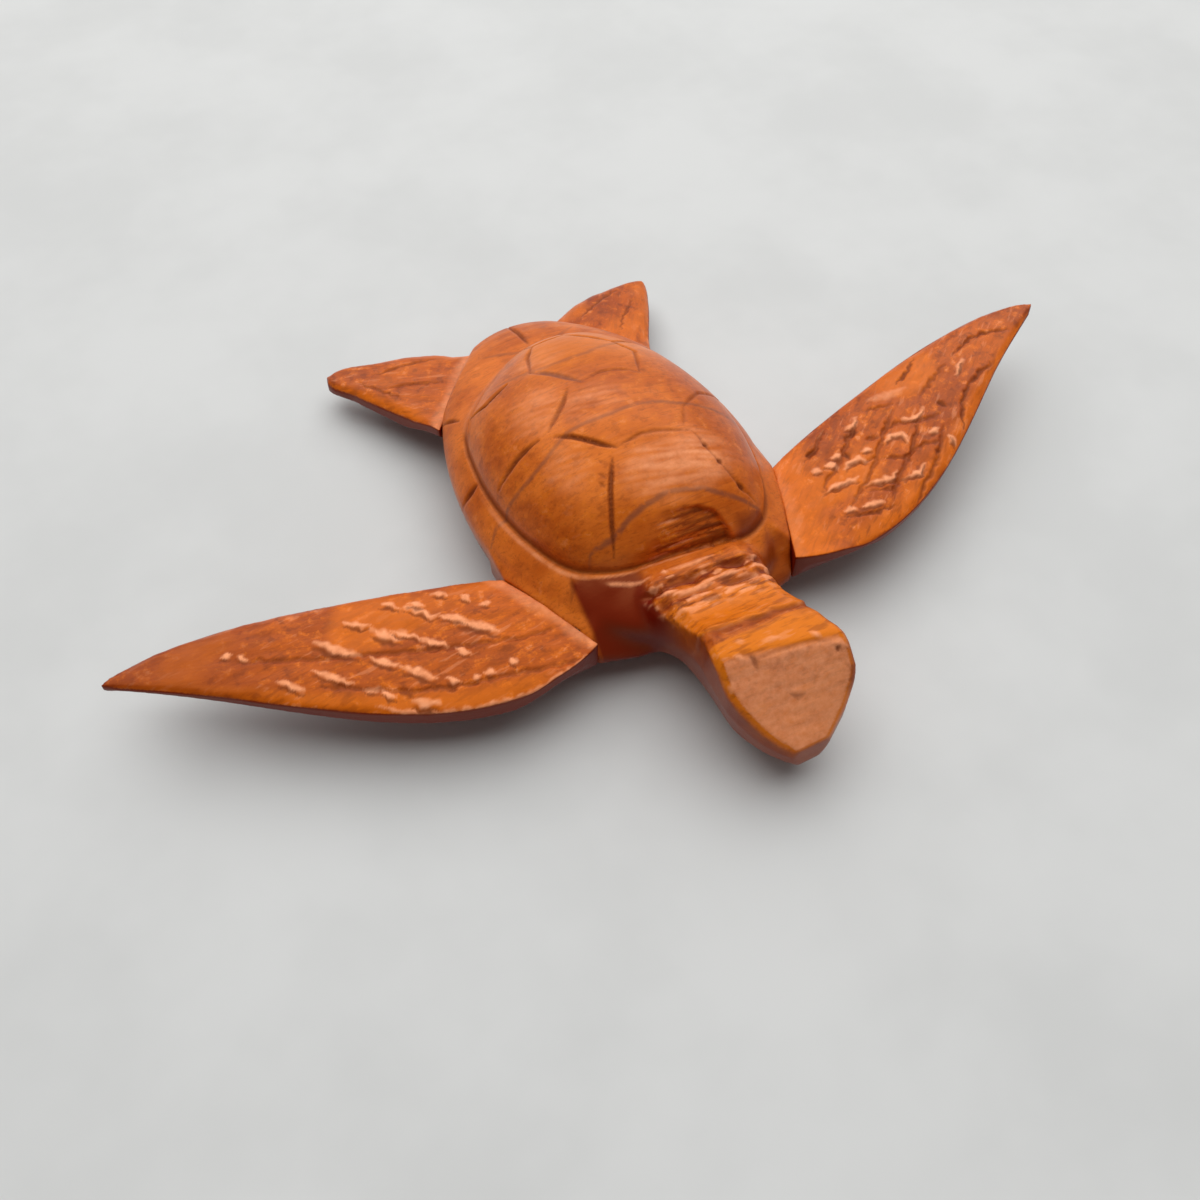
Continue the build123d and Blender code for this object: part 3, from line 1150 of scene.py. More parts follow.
@dataclass
class Body:
    """Shell, chest, neck and head, cut from one block and finished as one piece.

    Each fold across the neck is a row of its distance forward, how deep it is sunk in mm, how much
    painted shade it gets, and how much dark stain it holds. Each painted highlight on the dome is
    its middle, its half sizes and its strength. Each side of the scoop runs between two points, and
    is as soft as it says.
    """

    grain: float = 0.30
    chest_rounds: int = 90
    back_rounds: int = 150
    saw_rounds: int = 5
    underside: float = 7.0
    keep: float = 0.70
    groove_width: float = 0.8
    groove_depth: float = 0.3
    lip_inset: float = 0.95
    lip_width: float = 0.35
    dome_unevenness: float = 0.16
    chip_height: float = 0.16
    head_unevenness: float = 0.07
    head_plane: Place = (-0.156, -0.652, 0.741)
    painted_highlights: tuple[tuple[Point, Point, float], ...] = (
        ((4.4, -11.4), (11.0, 6.4), 0.75),
        ((-10.0, -5.5), (4.5, 5.0), 0.3),
        ((-9.5, 6.5), (6.0, 6.0), 0.35),
        ((-2.0, 3.0), (7.0, 5.0), 0.3),
        ((-4.0, 17.0), (6.0, 4.0), 0.3),
    )
    scoop_sides: tuple[tuple[Point, Point, float], ...] = (
        ((-5.6, -20.4), (-2.6, -16.6), 2.6),
        ((-2.6, -16.6), (3.0, -17.3), 0.8),
        ((3.0, -17.3), (6.2, -18.9), 0.3),
        ((6.2, -18.9), (8.2, -22.0), 0.3),
    )
    folds: tuple[tuple[float, float, float, float], ...] = (
        (23.6, 0.00, 0.0, 0.0), (24.5, 0.05, 0.3, 0.0), (25.0, 0.85, 0.8, 0.5),
        (25.8, 0.90, 0.9, 0.1), (26.5, 0.20, 0.3, 0.0), (27.5, 0.00, 0.0, 0.0),
        (28.1, 0.30, 0.3, 0.2), (28.7, 0.60, 0.6, 0.5), (29.3, 0.15, 0.1, 0.0),
        (30.4, 0.00, 0.0, 0.0), (31.6, 0.10, 0.0, 0.0), (35.8, 0.00, 0.0, 0.0),
        (36.6, -0.15, 0.0, 0.0), (37.0, 0.50, 0.4, 0.7), (38.2, 0.30, 0.5, 0.1),
        (39.4, 0.00, 0.0, 0.0),
    )

    def block(self) -> bpy.types.Object:
        """Join the shell, chest, neck and head into one faired block.

        Returns:
            The block, before any carving.
        """
        shell, chest, head = Shell().build(), Chest().build(), NeckAndHead().build()
        cutters = []
        for seat in (FRONT_SEAT, REAR_SEAT):
            for side in Side:
                cutters += seat.cutters(side)
        for block in (shell, chest):
            for cutter in cutters:
                finish_with(block, "BOOLEAN", operation="DIFFERENCE", solver="EXACT", object=cutter)
        for cutter in cutters:
            bpy.data.objects.remove(cutter)
        pick(shell)
        chest.select_set(True)
        head.select_set(True)
        bpy.ops.object.join()
        shell.name = "carved_body"
        finish_with(shell, "REMESH", mode="VOXEL", voxel_size=self.grain * MM)
        self.fair(shell)
        return shell

    def fair(self, body: bpy.types.Object) -> None:
        """Run the chest into the neck and the band into the dome, and take all saw marks off.

        Args:
            body: The joined body.
        """
        at = Carver(body).at
        x, y, z = at.T
        gap = DOME.distance(at)
        front = fade(0.8, 2.2, gap) * fade(-17.0, -20.0, y) * fade(-37.0, -31.0, y)
        chest = front * (fade(16.0, 13.4, np.abs(x)) * fade(15.8, 14.4, z))
        back = fade(12.0, 20.0, y) * fade(5.5, 2.5, np.abs(gap)) * fade(11.6, 12.8, z)
        for weights, rounds in ((chest, self.chest_rounds), (back, self.back_rounds)):
            group = weigh(body, weights)
            finish_with(body, "SMOOTH", factor=0.5, iterations=rounds, vertex_group=group)
        finish_with(body, "SMOOTH", factor=0.5, iterations=self.saw_rounds)
        group = weigh(body, (z < self.underside) * 1.0)
        finish_with(body, "DECIMATE", ratio=self.keep, vertex_group=group)
        body.vertex_groups.clear()

    def build(self) -> bpy.types.Object:
        """Model, carve and dress the body.

        Returns:
            The body.
        """
        carver = Carver(self.block())
        self.groove_foot(carver)
        self.cut_dome(carver)
        self.scoop_front(carver)
        self.step_neck(carver)
        self.mark_head(carver)
        self.paint_body_shade_and_highlights(carver)
        return carver.store(WoodFinish("stained_body"))

    def groove_foot(self, carver: Carver) -> None:
        """Cut the V round the foot of the dome, and paint a pale highlight on the lip outside it at
        the front.

        Args:
            carver: The body's carver.
        """
        at = carver.start
        x, y, z = at.T
        gap = DOME.distance(at)
        level = fade(12.4, 13.2, z) * fade(18.6, 16.8, z)
        near = np.clip(1.0 - np.abs(gap - 0.1) / (0.5 * self.groove_width), 0.0, 1.0)
        near = near * level * fade(17.0, 13.0, y)
        way = DOME.inwards(at) * 0.45 + np.array([0.0, 0.0, -0.9])
        carver.sink(near * self.groove_depth, way)
        carver.mark("stain", np.clip(near * 1.5, 0.0, 1.0) * 0.6)
        # Painted highlight: a pale line along the lip outside the groove, on the front towards the
        # turtle's right.
        lip = np.clip(1.3 - np.abs(gap - self.lip_inset) / self.lip_width, 0.0, 1.0) * level
        front = fade(6.0, -6.0, y) * fade(4.0, -2.0, x)
        carver.mark("pale", lip * front * (0.45 + 0.35 * rough_noise(at, 0.5, Seed.LIP)))

    def cut_dome(self, carver: Carver) -> None:
        """Cut the scute lines, stain the growth rings and cut the dividers on the band.

        Args:
            carver: The body's carver.
        """
        at = carver.start
        z = at[:, 2]
        gap = DOME.distance(at)
        upper = fade(14.0, 14.8, z)
        skin = fade(9.6, 11.0, z)
        wavy = at[:, :2] + 0.25 * rough_noise(at, 0.3, Seed.RING_LINE)[:, None]
        carver.cut(DOME_STROKES, upper * fade(0.4, -0.4, gap))
        carver.cut(RING_STROKES, skin, wavy)
        carver.cut(BAND_STROKES, skin * fade(0.2, 0.8, gap))
        lumps = rough_noise(at, (0.12, 0.16, 0.2), Seed.DOME)
        carver.sink(self.dome_unevenness * lumps * upper * fade(0.0, -1.5, gap))

    def scoop_front(self, carver: Carver) -> None:
        """Gouge the rough facet in the front of the dome, above the neck.

        Args:
            carver: The body's carver.
        """
        at = carver.start
        x, y, z = at.T
        zone = fade(14.6, 15.4, z) * fade(0.9, 0.2, DOME.distance(at))
        wobble = 0.25 * rough_noise(at, 0.6, Seed.SCOOP_EDGE)
        for (x0, y0), (x1, y1), soft in self.scoop_sides:
            inside = ((x - x0) * (y1 - y0) - (y - y0) * (x1 - x0)) / math.hypot(x1 - x0, y1 - y0)
            zone = zone * fade(-0.2, soft, inside + wobble)
        streaks = rough_noise(at, (0.14, 0.5, 1.9), Seed.SCOOP)
        right = fade(-2.0, 6.0, x)
        high = fade(18.0, 20.5, z)
        carver.sink(zone * (0.35 + 0.6 * right + 0.22 * streaks))
        # Painted shade over the facet, heavier to the right, high up and along the deeper streaks.
        carver.mark("shade", zone * (0.12 + 0.5 * right * high + 0.5 * streaks))
        carver.mark("stain", zone * fade(0.12, 0.34, -streaks) * (0.35 + 0.35 * right))
        # Pale painted highlight streaks, fewer high on the right.
        carver.mark("pale", zone * fade(0.2, 0.4, streaks) * (0.5 - 0.4 * right * high))
        carver.mark("rough", zone * 0.8)

    def step_neck(self, carver: Carver) -> None:
        """Cut the rough folds across the top of the neck.

        Args:
            carver: The body's carver.
        """
        at = carver.start
        x, y, z = at.T
        wave = rough_noise(at, (0.35, 0.2, 0.2), Seed.FOLD_WAVE)
        ripple = rough_noise(at, (0.9, 0.5, 0.5), Seed.FOLD_RIPPLE)
        along = -y - 0.12 * x + (0.5 * wave + 0.3 * ripple)
        half = np.interp(-y, (22.0, 30.0, 40.0), (10.4, 8.4, 8.4))
        off = np.abs(x - np.interp(-y, (22.0, 40.0), (0.8, 1.8)))
        top = fade(half + 0.8, half - 0.8, off) * fade(13.2, 15.0, z)
        top = top * (y < -23.0) * fade(-0.2, 0.5, carver.facing[:, 2])
        torn = rough_noise(at, (0.42, 0.6, 0.5), Seed.FOLD_BREAK)
        broken = np.clip(0.75 + 0.9 * torn, 0.15, 1.15)
        places, *columns = np.array(self.folds).T
        sunk, fold_shade, dark = (np.interp(along, places, column) * top * broken for column in columns)
        chips = rough_noise(at, (0.55, 1.3, 0.8), Seed.CHIP)
        rough = fade(23.6, 24.6, along) * fade(33.0, 30.4, along) * top
        carver.sink(sunk)
        carver.sink(-self.chip_height * chips * rough)
        # Painted shade in the folds, and dark stain in them.
        carver.mark("shade", fold_shade)
        carver.mark("stain", dark)
        carver.mark("stain", fade(0.22, 0.45, -chips) * rough * 0.6)
        # Pale painted highlights on the raised chips.
        carver.mark("pale", fade(0.1, 0.4, chips) * rough * 0.75)
        carver.mark("rough", np.maximum(rough, top * 0.5))
        carver.mark("warm", fade(29.0, 31.0, along) * fade(37.2, 36.8, along) * top * 0.6)
        carver.cut(NECK_STROKES, fade(-19.5, -21.0, y) * fade(13.4, 14.4, z))

    def mark_head(self, carver: Carver) -> None:
        """Cut the marks on top of the head, leave tool marks on it, and paint a pale sheen on its
        flat and warm tone on the rest of its top.

        Args:
            carver: The body's carver.
        """
        at = carver.start
        x, y, _ = at.T
        top = fade(0.2, 0.6, carver.facing[:, 2]) * (y < -39.0)
        carver.cut(HEAD_STROKES, top)
        lumps = rough_noise(at, (0.45, 0.45, 0.3), Seed.HEAD)
        carver.sink(self.head_unevenness * lumps * top)
        face = top * fade(-42.6, -43.6, y + 0.24 * (x - 2.0))
        flat = face * fade(0.93, 0.98, carver.facing @ np.array(self.head_plane))
        # Painted sheen: the flat of the face is laid pale.
        carver.mark("pale", flat * 0.7)
        carver.mark("warm", (top - flat).clip(0.0, 1.0) * 0.8)
        carver.mark("rough", (top - face).clip(0.0, 1.0) * 0.55 + flat * 0.1)

    def paint_body_shade_and_highlights(self, carver: Carver) -> None:
        """Paint shade on the chest, the throat and low down, warm the back of the dome, and paint
        pale highlights on its top.

        Args:
            carver: The body's carver.
        """
        at = carver.start
        x, y, z = at.T
        gap = DOME.distance(at)
        upright = carver.facing[:, 2]
        # Painted shade: on the chest face left of the neck, on steep faces right of the neck, on
        # the steep undersides in front, and darker low down.
        face = fade(-16.4, -15.4, x) * fade(-5.0, -8.0, x) * fade(-16.0, -18.0, y)
        face = face * fade(0.8, 1.4, gap) * fade(15.4, 14.6, z)
        right = fade(8.0, 10.0, x) * (y < -20.0)
        face = np.maximum(face, right * fade(0.8, 0.5, upright) * 0.7)
        side = fade(0.32, -0.1, upright) * (y < -20.0)
        carver.mark("shade", np.maximum(np.maximum(face, side * 0.8), fade(11.0, 7.0, z) * 0.7))
        carver.mark("warm", fade(8.0, 16.0, y) * fade(0.0, -2.0, gap) * fade(-6.0, -3.0, x) * 0.5)
        carver.mark("rough", fade(14.0, 16.0, z) * (y > -15.0) * 0.12)
        # Painted highlights on the top of the dome, as pale patches broken into streaks.
        turned = at @ np.array([[0.97, 0.24, 0], [-0.24, 0.97, 0], [0, 0, 1]])
        highlight_streaks = rough_noise(turned, (0.18, 1.5, 0.3), Seed.PLANED)
        for (middle_x, middle_y), (half_x, half_y), amount in self.painted_highlights:
            away = np.hypot((x - middle_x) / half_x, (y - middle_y) / half_y)
            spot = fade(1.0, 0.35, away) * fade(18.0, 19.0, z) * amount
            carver.mark("pale", spot * (0.6 + 0.9 * highlight_streaks))


# Flippers


@dataclass
class Flipper:
    """One flipper, made from its own block, with its carved upper face."""

    node: str
    side: Side
    seat: Seat
    sweep: float
    strokes: tuple[Stroke, ...]
    tool_turn: float
    crown: float = 1.1
    undercut: float = 1.7
    corner: float = 2.4
    ragged: float = 0.45
    knife_depth: float = 0.14
    grain: float = 0.25
    saw_rounds: int = 16
    seam: float = 2.6
    reach: float = 0.0
    blunt: float = 0.3
    dark_tip: float = 0.0
    seam_pale: float = 0.5
    root_warm: float = 0.0

    def build(self, source: bpy.types.Object) -> bpy.types.Object:
        """Copy, soften, carve and dress the flipper.

        Args:
            source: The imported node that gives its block.

        Returns:
            The flipper.
        """
        piece = source.copy()
        piece.data = source.data.copy()
        piece.name = f"carved_{self.node}"
        piece.parent = None
        for key in list(piece.keys()):
            del piece[key]
        bpy.context.scene.collection.objects.link(piece)
        turn_out(piece)
        finish_with(piece, "REMESH", mode="VOXEL", voxel_size=self.grain * MM)
        finish_with(piece, "SMOOTH", factor=0.5, iterations=self.saw_rounds)
        carver = Carver(piece)
        local = self.local(carver.start)
        up = fade(0.25, 0.7, carver.facing[:, 2])
        self.soften(carver, local, up)
        seeds = (Seed.RAGGED_ALONG, Seed.RAGGED_ACROSS)
        shifts = np.stack([rough_noise(local, (1.1, 1.1, 0.2), seed) for seed in seeds], axis=1)
        carver.cut(self.strokes, up, local[:, :2] + self.ragged * shifts)
        self.hack(carver, local, up)
        self.mark_seam(carver)
        return carver.store(
            WoodFinish(
                f"stained_{self.node}",
                light=(0.58, 0.105, 0.005),
                middle=(0.33, 0.045, 0.003),
                warm=(0.74, 0.155, 0.004),
                grain_turn=math.radians(self.sweep) * self.side.value,
                tool_turn=math.radians(self.tool_turn),
                mottle=0.9,
                relief=0.06,
            )
        )

    def local(self, at: np.ndarray) -> np.ndarray:
        """Places along and across the flipper's spine, and the height.

        Args:
            at: Places in mm.

        Returns:
            Along from the seat, across with the leading edge negative, height.
        """
        turn = math.radians(self.sweep)
        out = at[:, 0] * self.side.value - self.seat.middle.x
        over = at[:, 1] - self.seat.middle.y
        along = out * math.cos(turn) + over * math.sin(turn)
        across = over * math.cos(turn) - out * math.sin(turn)
        return np.stack([along, across, at[:, 2]], axis=1)

    def bounds(self, local: np.ndarray, step: float = 0.8) -> list[np.ndarray]:
        """Fore and aft edge, underside and top of the blade abreast of each vertex.

        Args:
            local: Places in the flipper's frame.
            step: Length of the slices that they are read in, in mm.

        Returns:
            The four, in mm, each evened out over five slices.
        """
        first = local[:, 0].min()
        slices = ((local[:, 0] - first) / step).astype(int)
        centres = first + (np.arange(slices.max() + 1) + 0.5) * step
        found = []
        for axis in (1, 2):
            for find, worst in ((np.minimum, np.inf), (np.maximum, -np.inf)):
                ends = np.full(len(centres), worst)
                find.at(ends, slices, local[:, axis])
                even = np.convolve(np.pad(ends, 2, mode="edge"), np.full(5, 0.2), mode="valid")
                found.append(np.interp(local[:, 0], centres, even))
        return found

    def soften(self, carver: Carver, local: np.ndarray, up: np.ndarray) -> None:
        """Crown the upper face, draw the lower one up towards the edges, and shape the tip.

        Args:
            carver: The flipper's carver.
            local: Places in the flipper's frame.
            up: How much each vertex faces up.
        """
        fore, aft, bottom, top = self.bounds(local)
        half = np.maximum((aft - fore) / 2, 1.0)
        off = (local[:, 1] - (aft + fore) / 2) / half
        edge = np.clip(np.abs(off), 0.0, 1.0)
        blade = fade(0.5, 5.0, local[:, 0])
        thick = np.maximum(top - bottom, 0.8)
        crown = np.minimum(self.crown, 0.3 * thick) * edge**5 * blade
        root = np.maximum(blade, fade(0.2, -0.9, off))
        corner = self.corner * (fade(8.0, 0.0, local[:, 0]) * fade(-0.3, -0.9, off))
        undercut = np.minimum(self.undercut + corner, 0.7 * thick) * edge**3 * root
        share = np.clip((local[:, 2] - bottom) / thick, 0.0, 1.0)
        carver.at[:, 2] += (1 - share) * undercut - share * crown
        far = local[:, 0] / local[:, 0].max()
        turn, flip = math.radians(self.sweep), self.side.value
        spine = np.array([math.cos(turn) * flip, math.sin(turn), 0.0])
        over = np.array([-math.sin(turn) * flip, math.cos(turn), 0.0])
        carver.at += spine * (self.reach * fade(0.5, 1.0, far))[:, None]
        carver.at += over * (self.blunt * np.sign(off) * edge * fade(0.72, 0.97, far))[:, None]
        # Painted shade on the faces that turn away from up: the sides and the underside.
        carver.mark("shade", fade(0.66, 0.36, carver.facing[:, 2]))
        # Painted highlight: warm orange along the bevel of the leading edge.
        leading = fade(-0.62, -0.86, off) * fade(-1.0, -0.93, off)
        carver.mark("warm", leading * up * blade * 0.6)
        carver.mark("shade", fade(0.55, 0.8, far) * up * self.dark_tip)

    def hack(self, carver: Carver, local: np.ndarray, up: np.ndarray) -> None:
        """Leave the shallow unevenness of knife work on the upper face.

        Args:
            carver: The flipper's carver.
            local: Places in the flipper's frame.
            up: How much each vertex faces up.
        """
        lumps = rough_noise(local, (0.28, 0.5, 0.1), Seed.KNIFE + self.side.value)
        carver.sink(self.knife_depth * lumps * up)
        patches = rough_noise(local, (0.09, 0.12, 0.1), Seed.PATCH + self.side.value)
        carver.mark("rough", up * (0.35 + 0.4 * patches))
        carver.mark("warm", up * fade(0.0, 0.35, -patches) * 0.6)

    def mark_seam(self, carver: Carver) -> None:
        """Leave the pale glue line at the root.

        Args:
            carver: The flipper's carver.
        """
        at = carver.start
        outward, middle = self.seat.outward, self.seat.middle
        out, over = at[:, 0] * self.side.value - middle.x, at[:, 1] - middle.y
        away = out * outward.x + over * outward.y + 1.2 * rough_noise(at, 0.3, Seed.SEAM)
        up = fade(0.66, 0.8, carver.facing[:, 2])
        carver.mark("pale", fade(self.seam, 0.6, away) * self.seam_pale * up)
        carver.mark("warm", fade(9.0, 3.0, away) * up * self.root_warm)


RIGHT_STROKES = (
    *rows(
        0.9, 0.28,
        ((-0.8, -3.3), (2.1, -3.8), (5.0, -4.1), (12.0, -4.0), (21.5, -3.3), (26.9, -2.8),
         (32.4, -2.3), (37.7, -1.4), (43.0, -0.6)),
        ((-3.2, -9.1), (0.4, -9.5), (8.7, -9.8), (12.9, -10.1), (19.7, -9.9), (33.0, -6.6)),
        stain=0.5,
    ),
    *rows(
        1.3, 0.2,
        ((22.2, -9.3), (20.8, -10.6)),
        ((16.2, -10.5), (14.6, -10.6)),
        stain=0.7,
    ),
    *chips(
        1.25, 0.07, (0.17, -0.75),
        ((23.3, 5.7), (22.3, 5.2), (20.9, 4.3)),
        ((20.3, 4.4), (19.0, 3.8), (16.5, 1.8), (15.3, 2.1)),
        ((15.4, 1.6), (13.3, 1.1), (11.6, 0.2)),
        ((19.5, 4.8), (18.4, 4.4), (17.3, 3.7)),
        ((16.2, 6.3), (14.8, 5.8), (13.8, 5.1)),
        ((12.1, 4.9), (11.4, 4.2), (10.9, 3.6)),
        ((9.5, 2.8), (8.1, 2.7)),
        ((28.7, 3.5), (27.9, 2.7), (26.5, 2.2), (24.9, 2.0)),
        ((22.5, 0.6), (20.9, -0.2), (19.3, -1.0), (18.6, -1.9)),
        ((18.6, -1.5), (17.3, -2.4), (15.5, -3.0), (14.7, -3.5)),
        ((13.9, -4.1), (13.2, -4.6), (12.2, -5.5)),
        ((25.7, -3.4), (24.4, -4.3), (23.1, -5.0), (21.8, -5.3)),
        ((15.9, -8.5), (15.0, -9.3), (13.9, -9.6)),
        ((12.5, -9.5), (11.3, -9.0)),
        ((10.7, -8.6), (9.2, -9.1)),
        ((6.9, -7.5), (6.0, -8.1)),
        ((33.3, -4.2), (32.0, -5.0), (30.7, -5.7), (29.2, -6.7), (28.2, -7.1)),
        ((26.9, -8.0), (26.0, -8.6), (24.9, -8.4)),
        ((24.6, -8.8), (23.6, -9.9), (22.9, -10.2)),
        ((38.2, -4.9), (36.9, -5.5), (35.9, -6.2), (34.9, -6.8)),
        ((45.3, 0.6), (44.0, 0.7)),
        ((43.2, 0.2), (41.9, -0.4)),
    ),
    *chips(
        1.8, 0.09, (0.2, -1.0),
        ((13.4, 0.5), (11.4, -0.4), (9.5, -1.4), (7.6, -2.3)),
        ((24.9, 1.3), (23.6, 0.2), (22.1, -0.9), (21.0, -1.0)),
        ((32.9, 0.5), (31.9, -0.1), (30.6, -0.9), (28.9, -1.8), (26.9, -2.8)),
        ((21.6, -5.7), (20.3, -6.5), (18.8, -7.4), (17.3, -8.5)),
        ((20.9, -11.2), (19.3, -11.8), (17.4, -11.9)),
    ),
    # Pale ridge along the leading edge, a painted highlight.
    Stroke(
        ((25.7, -10.8), (21.3, -12.6), (17.5, -13.4), (12.2, -13.6), (6.7, -13.1), (2.4, -12.0),
         (-0.7, -10.7), (-3.7, -8.8)),
        0.8, -0.1, pale=0.7,
    ),
)
LEFT_STROKES = (
    *rows(
        0.9, 0.32,
        ((41.5, 1.9), (39.1, 1.7), (36.4, 1.2), (33.4, 0.5)),
        ((31.0, -6.2), (29.0, -7.3), (26.4, -9.0), (24.0, -10.1), (21.1, -11.1), (18.9, -11.7),
         (16.5, -12.8)),
        ((28.5, -2.7), (27.1, -3.9), (24.7, -5.1), (22.2, -6.4), (19.9, -7.0), (17.8, -7.9),
         (15.9, -8.7), (13.8, -9.6)),
        ((27.7, 1.5), (24.9, 0.5), (23.3, -0.3), (20.5, -1.9), (17.9, -3.1), (15.9, -4.0),
         (13.4, -5.0), (11.1, -5.6), (9.1, -6.3), (7.5, -7.0)),
        ((20.9, 3.6), (18.6, 2.6), (16.6, 1.8), (14.6, 0.9), (11.9, -0.2), (9.1, -0.9),
         (6.9, -2.0)),
        ((17.4, 6.8), (15.2, 5.9), (13.1, 5.0), (11.1, 4.4), (9.5, 3.9)),
        ((23.3, -0.3), (25.2, -0.6), (26.7, -1.2), (28.5, -2.7), (30.8, -3.6), (32.5, -4.3)),
        ((18.3, -3.6), (19.9, -4.7), (21.1, -6.2), (23.5, -6.1), (25.7, -6.5), (28.0, -7.7)),
        ((13.1, -1.1), (15.1, -1.5), (16.3, -2.5), (18.1, -2.8)),
        ((12.2, -5.8), (14.3, -6.9), (16.1, -7.9), (17.8, -8.9), (19.7, -9.9), (21.8, -10.2)),
        ((6.1, -2.3), (8.6, -2.9), (10.4, -3.4), (12.3, -4.2)),
        ((12.1, -6.7), (13.7, -7.8), (15.5, -9.0), (13.4, -10.5)),
        ((23.9, 4.6), (25.7, 4.0), (27.3, 2.9), (28.8, 2.3)),
        ((19.6, 0.3), (20.8, 0.1), (21.7, -0.4)),
        stain=0.6,
    ),
    *rows(
        0.8, 0.35,
        ((43.7, 2.6), (46.5, 2.8), (49.0, 2.7), (51.6, 2.2), (53.2, 1.2), (55.6, -0.3)),
        ((47.4, -2.9), (44.9, -2.8), (42.1, -3.2), (39.6, -3.9), (37.5, -5.0), (35.4, -6.5),
         (33.4, -8.5)),
        ((39.6, 6.6), (37.4, 5.9), (34.4, 4.9), (32.7, 4.8)),
        ((5.6, -7.5), (6.8, -8.4), (8.2, -9.1), (9.9, -10.0), (11.6, -10.6), (13.3, -11.2)),
        stain=0.8,
    ),
    *rows(
        1.5, 0.3,
        ((34.3, -2.2), (34.4, -3.8)),
        ((17.9, 2.9), (19.3, 2.8), (20.9, 3.0)),
        ((10.4, 4.7), (11.8, 4.5), (13.2, 4.6)),
        ((15.2, 1.2), (14.8, -0.2)),
        ((25.6, -8.8), (26.8, -8.6)),
        stain=0.9,
    ),
    *chips(
        1.4, 0.12, (-0.45, -0.5),
        ((12.8, -1.1), (14.7, -1.0), (16.1, -1.4), (16.5, -2.6)),
        ((7.2, -2.2), (8.9, -2.3), (10.6, -3.2), (12.8, -3.8)),
        ((12.7, -5.4), (14.7, -6.5), (16.5, -7.4), (18.3, -6.9)),
        ((17.8, -8.7), (19.6, -9.2), (21.0, -9.6), (22.6, -8.8)),
        ((21.4, -1.9), (23.2, -1.9), (24.7, -2.7), (24.4, -4.2)),
        ((27.1, -0.9), (28.2, -1.5), (29.5, -2.1), (31.4, -1.5)),
        ((10.9, 1.3), (12.3, 0.5), (11.8, -0.7)),
        ((8.6, 2.0), (9.9, 0.9)),
        ((19.2, 4.0), (21.0, 3.8), (22.3, 4.4)),
        ((28.0, -5.6), (29.8, -5.9)),
        ((30.1, -8.0), (29.4, -9.7)),
        ((8.9, -7.8), (10.7, -8.7), (12.4, -9.5)),
        ((13.0, 1.6), (14.3, 1.1)),
        ((17.6, -0.6), (19.0, -1.4)),
        ((6.4, -6.6), (8.0, -7.7)),
        ((44.4, 0.6), (41.3, -0.5)),
    ),
    # Broad pale band near the trailing edge, a painted highlight.
    Stroke(((26.6, 5.7), (28.5, 4.7), (30.4, 3.8), (33.0, 3.2)), 2.2, -0.1, pale=0.5),
)
REAR_RIGHT_STROKES = rows(
    0.8, 0.25,
    ((16.2, 1.0), (12.2, 4.1), (7.0, 7.0)),
    ((13.0, -1.6), (8.0, 0.4), (3.2, 1.6)),
    ((17.0, -1.0), (13.6, -2.0), (8.0, -3.4)),
    stain=0.6,
)
REAR_LEFT_STROKES = rows(
    0.8, 0.25,
    ((15.8, 3.0), (11.4, 4.4), (5.0, 5.4)),
    ((14.0, -0.8), (9.0, -1.0), (4.2, -2.0)),
    stain=0.6,
)


# Studio


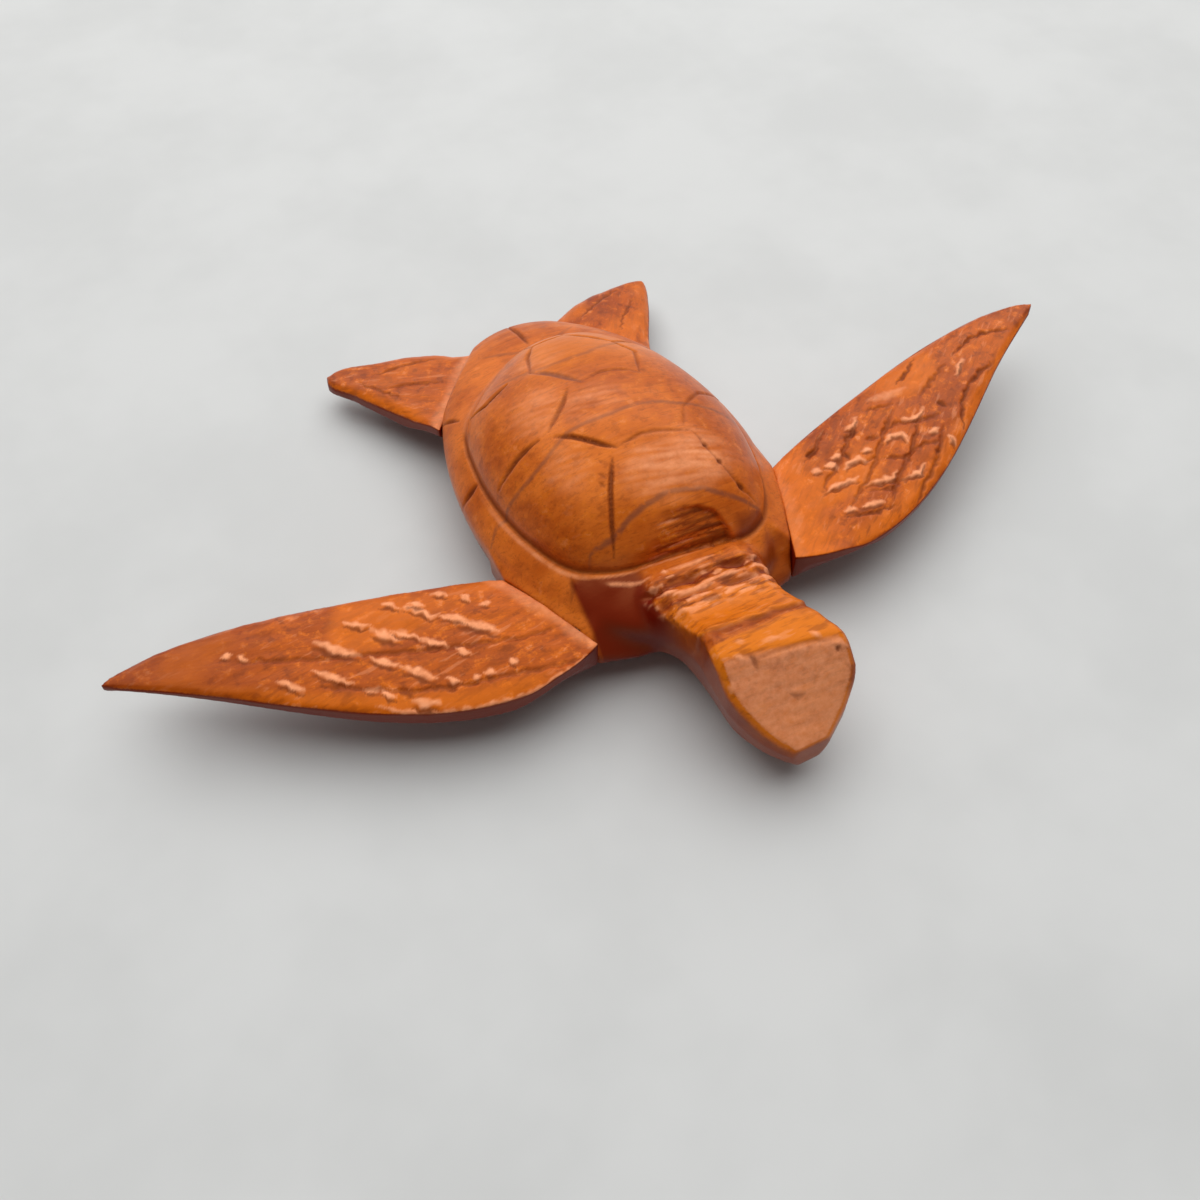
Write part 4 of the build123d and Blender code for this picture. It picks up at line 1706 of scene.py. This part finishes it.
@dataclass
class Studio:
    """Table, lamp, backdrop and the camera; places are in metres where they say nothing else."""

    table_size: float = 4.0
    lamp_place: Place = (0.10, 0.22, 0.62)
    lamp_size: float = 1.1
    lamp_power: float = 7.6
    room_light: float = 0.14
    backdrop: Colour = (0.60, 0.605, 0.595)
    target_mm: Place = (-12.2, -19.3, 10.0)
    distance_mm: float = 172.3
    azimuth: float = -27.7
    elevation: float = 54.4
    lens: float = 36.0
    sensor: float = 36.0
    clip_start: float = 0.005

    def build(self) -> None:
        """Set the whole studio up."""
        self.table()
        self.lights()
        self.camera()
        bpy.context.scene.view_settings.view_transform = "Standard"

    def table(self) -> None:
        """Lay the plain pale table top."""
        deselect()
        bpy.ops.mesh.primitive_plane_add(size=self.table_size, location=(0, 0, 0))
        table = bpy.context.object
        table.name = "table_top"
        dress(table, TableFinish())

    def lights(self) -> None:
        """Hang one soft lamp, light the room evenly, and show a pale backdrop past the table."""
        data = bpy.data.lights.new("overhead", "AREA")
        data.shape = "SQUARE"
        data.size = self.lamp_size
        data.energy = self.lamp_power
        lamp = bpy.data.objects.new("overhead", data)
        bpy.context.scene.collection.objects.link(lamp)
        lamp.location = self.lamp_place
        lamp.rotation_euler = (-Vector(self.lamp_place)).to_track_quat("-Z", "Y").to_euler()
        world = bpy.data.worlds.new("studio")
        bpy.context.scene.world = world
        bench = Bench(world)
        room = bench.node("Background", {"Color": (1.0, 1.0, 1.0), "Strength": self.room_light})
        backdrop = bench.node("Background", {"Color": self.backdrop})
        rays = bench.node("LightPath", {}).outputs
        seen = Sock(bench, rays["Is Camera Ray"])
        for name in ("Is Glossy Ray", "Is Transmission Ray"):
            seen = bench.maths("MAXIMUM", seen, Sock(bench, rays[name]))
        shown = bench.node("MixShader", {0: seen, 1: room.outputs[0], 2: backdrop.outputs[0]})
        bench.node("OutputWorld", {"Surface": shown.outputs[0]})

    def camera(self) -> None:
        """Stand the camera where the photograph was taken from."""
        around, above = math.radians(self.azimuth), math.radians(self.elevation)
        level = math.cos(above)
        back = Vector((math.sin(around) * level, -math.cos(around) * level, math.sin(above)))
        right = Vector((math.cos(around), math.sin(around), 0.0))
        place = (Vector(self.target_mm) + back * self.distance_mm) * MM
        data = bpy.data.cameras.new("photo_camera")
        data.sensor_width = self.sensor
        data.lens = self.lens
        data.clip_start = self.clip_start
        camera = bpy.data.objects.new("photo_camera", data)
        bpy.context.scene.collection.objects.link(camera)
        basis = Matrix((right, back.cross(right), back)).transposed().to_4x4()
        camera.matrix_world = Matrix.Translation(place) @ basis
        bpy.context.scene.camera = camera


# Assembly


def attach(piece: bpy.types.Object, node: str) -> None:
    """Let a finished piece stand for its node.

    Args:
        piece: The piece.
        node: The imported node.
    """
    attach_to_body(piece, "root")
    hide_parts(node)
    LOG.info("%s: %d faces", piece.name, len(piece.data.polygons))


def dress_dowels(nodes: dict[str, bpy.types.Object]) -> None:
    """Give the dowels their bare wood.

    Args:
        nodes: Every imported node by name.
    """
    for name, dowel in nodes.items():
        if not name.endswith("_dowel"):
            continue
        seat = FRONT_SEAT if name.startswith("front") else REAR_SEAT
        side = Side.LEFT if "_left_" in name else Side.RIGHT
        dress(dowel, DowelFinish(f"beech_{name}", grain_turn=seat.turn(side)))
        LOG.info("%s dressed", name)


def main() -> None:
    """Build every piece in order."""
    logging.basicConfig(level=logging.INFO, format="%(message)s")
    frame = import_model()
    nodes = frame["nodes"]
    attach(Body().build(), "body_block")
    flippers = (
        Flipper(
            "front_flipper_left", Side.LEFT, FRONT_SEAT, 15.6, LEFT_STROKES, 38.0,
            reach=1.0, blunt=0.6, undercut=2.8, seam_pale=0.15, root_warm=0.6,
        ),
        Flipper(
            "front_flipper_right", Side.RIGHT, FRONT_SEAT, 15.6, RIGHT_STROKES, 8.0,
            reach=0.4, undercut=1.0, dark_tip=0.5,
        ),
        Flipper("rear_flipper_left", Side.LEFT, REAR_SEAT, 42.0, REAR_LEFT_STROKES, 60.0),
        Flipper(
            "rear_flipper_right", Side.RIGHT, REAR_SEAT, 46.0, REAR_RIGHT_STROKES, -30.0,
            reach=0.8, blunt=1.2, undercut=1.0,
        ),
    )
    for flipper in flippers:
        attach(flipper.build(nodes[flipper.node]), flipper.node)
    dress_dowels(nodes)
    Studio().build()


if __name__ == "__main__":
    main()
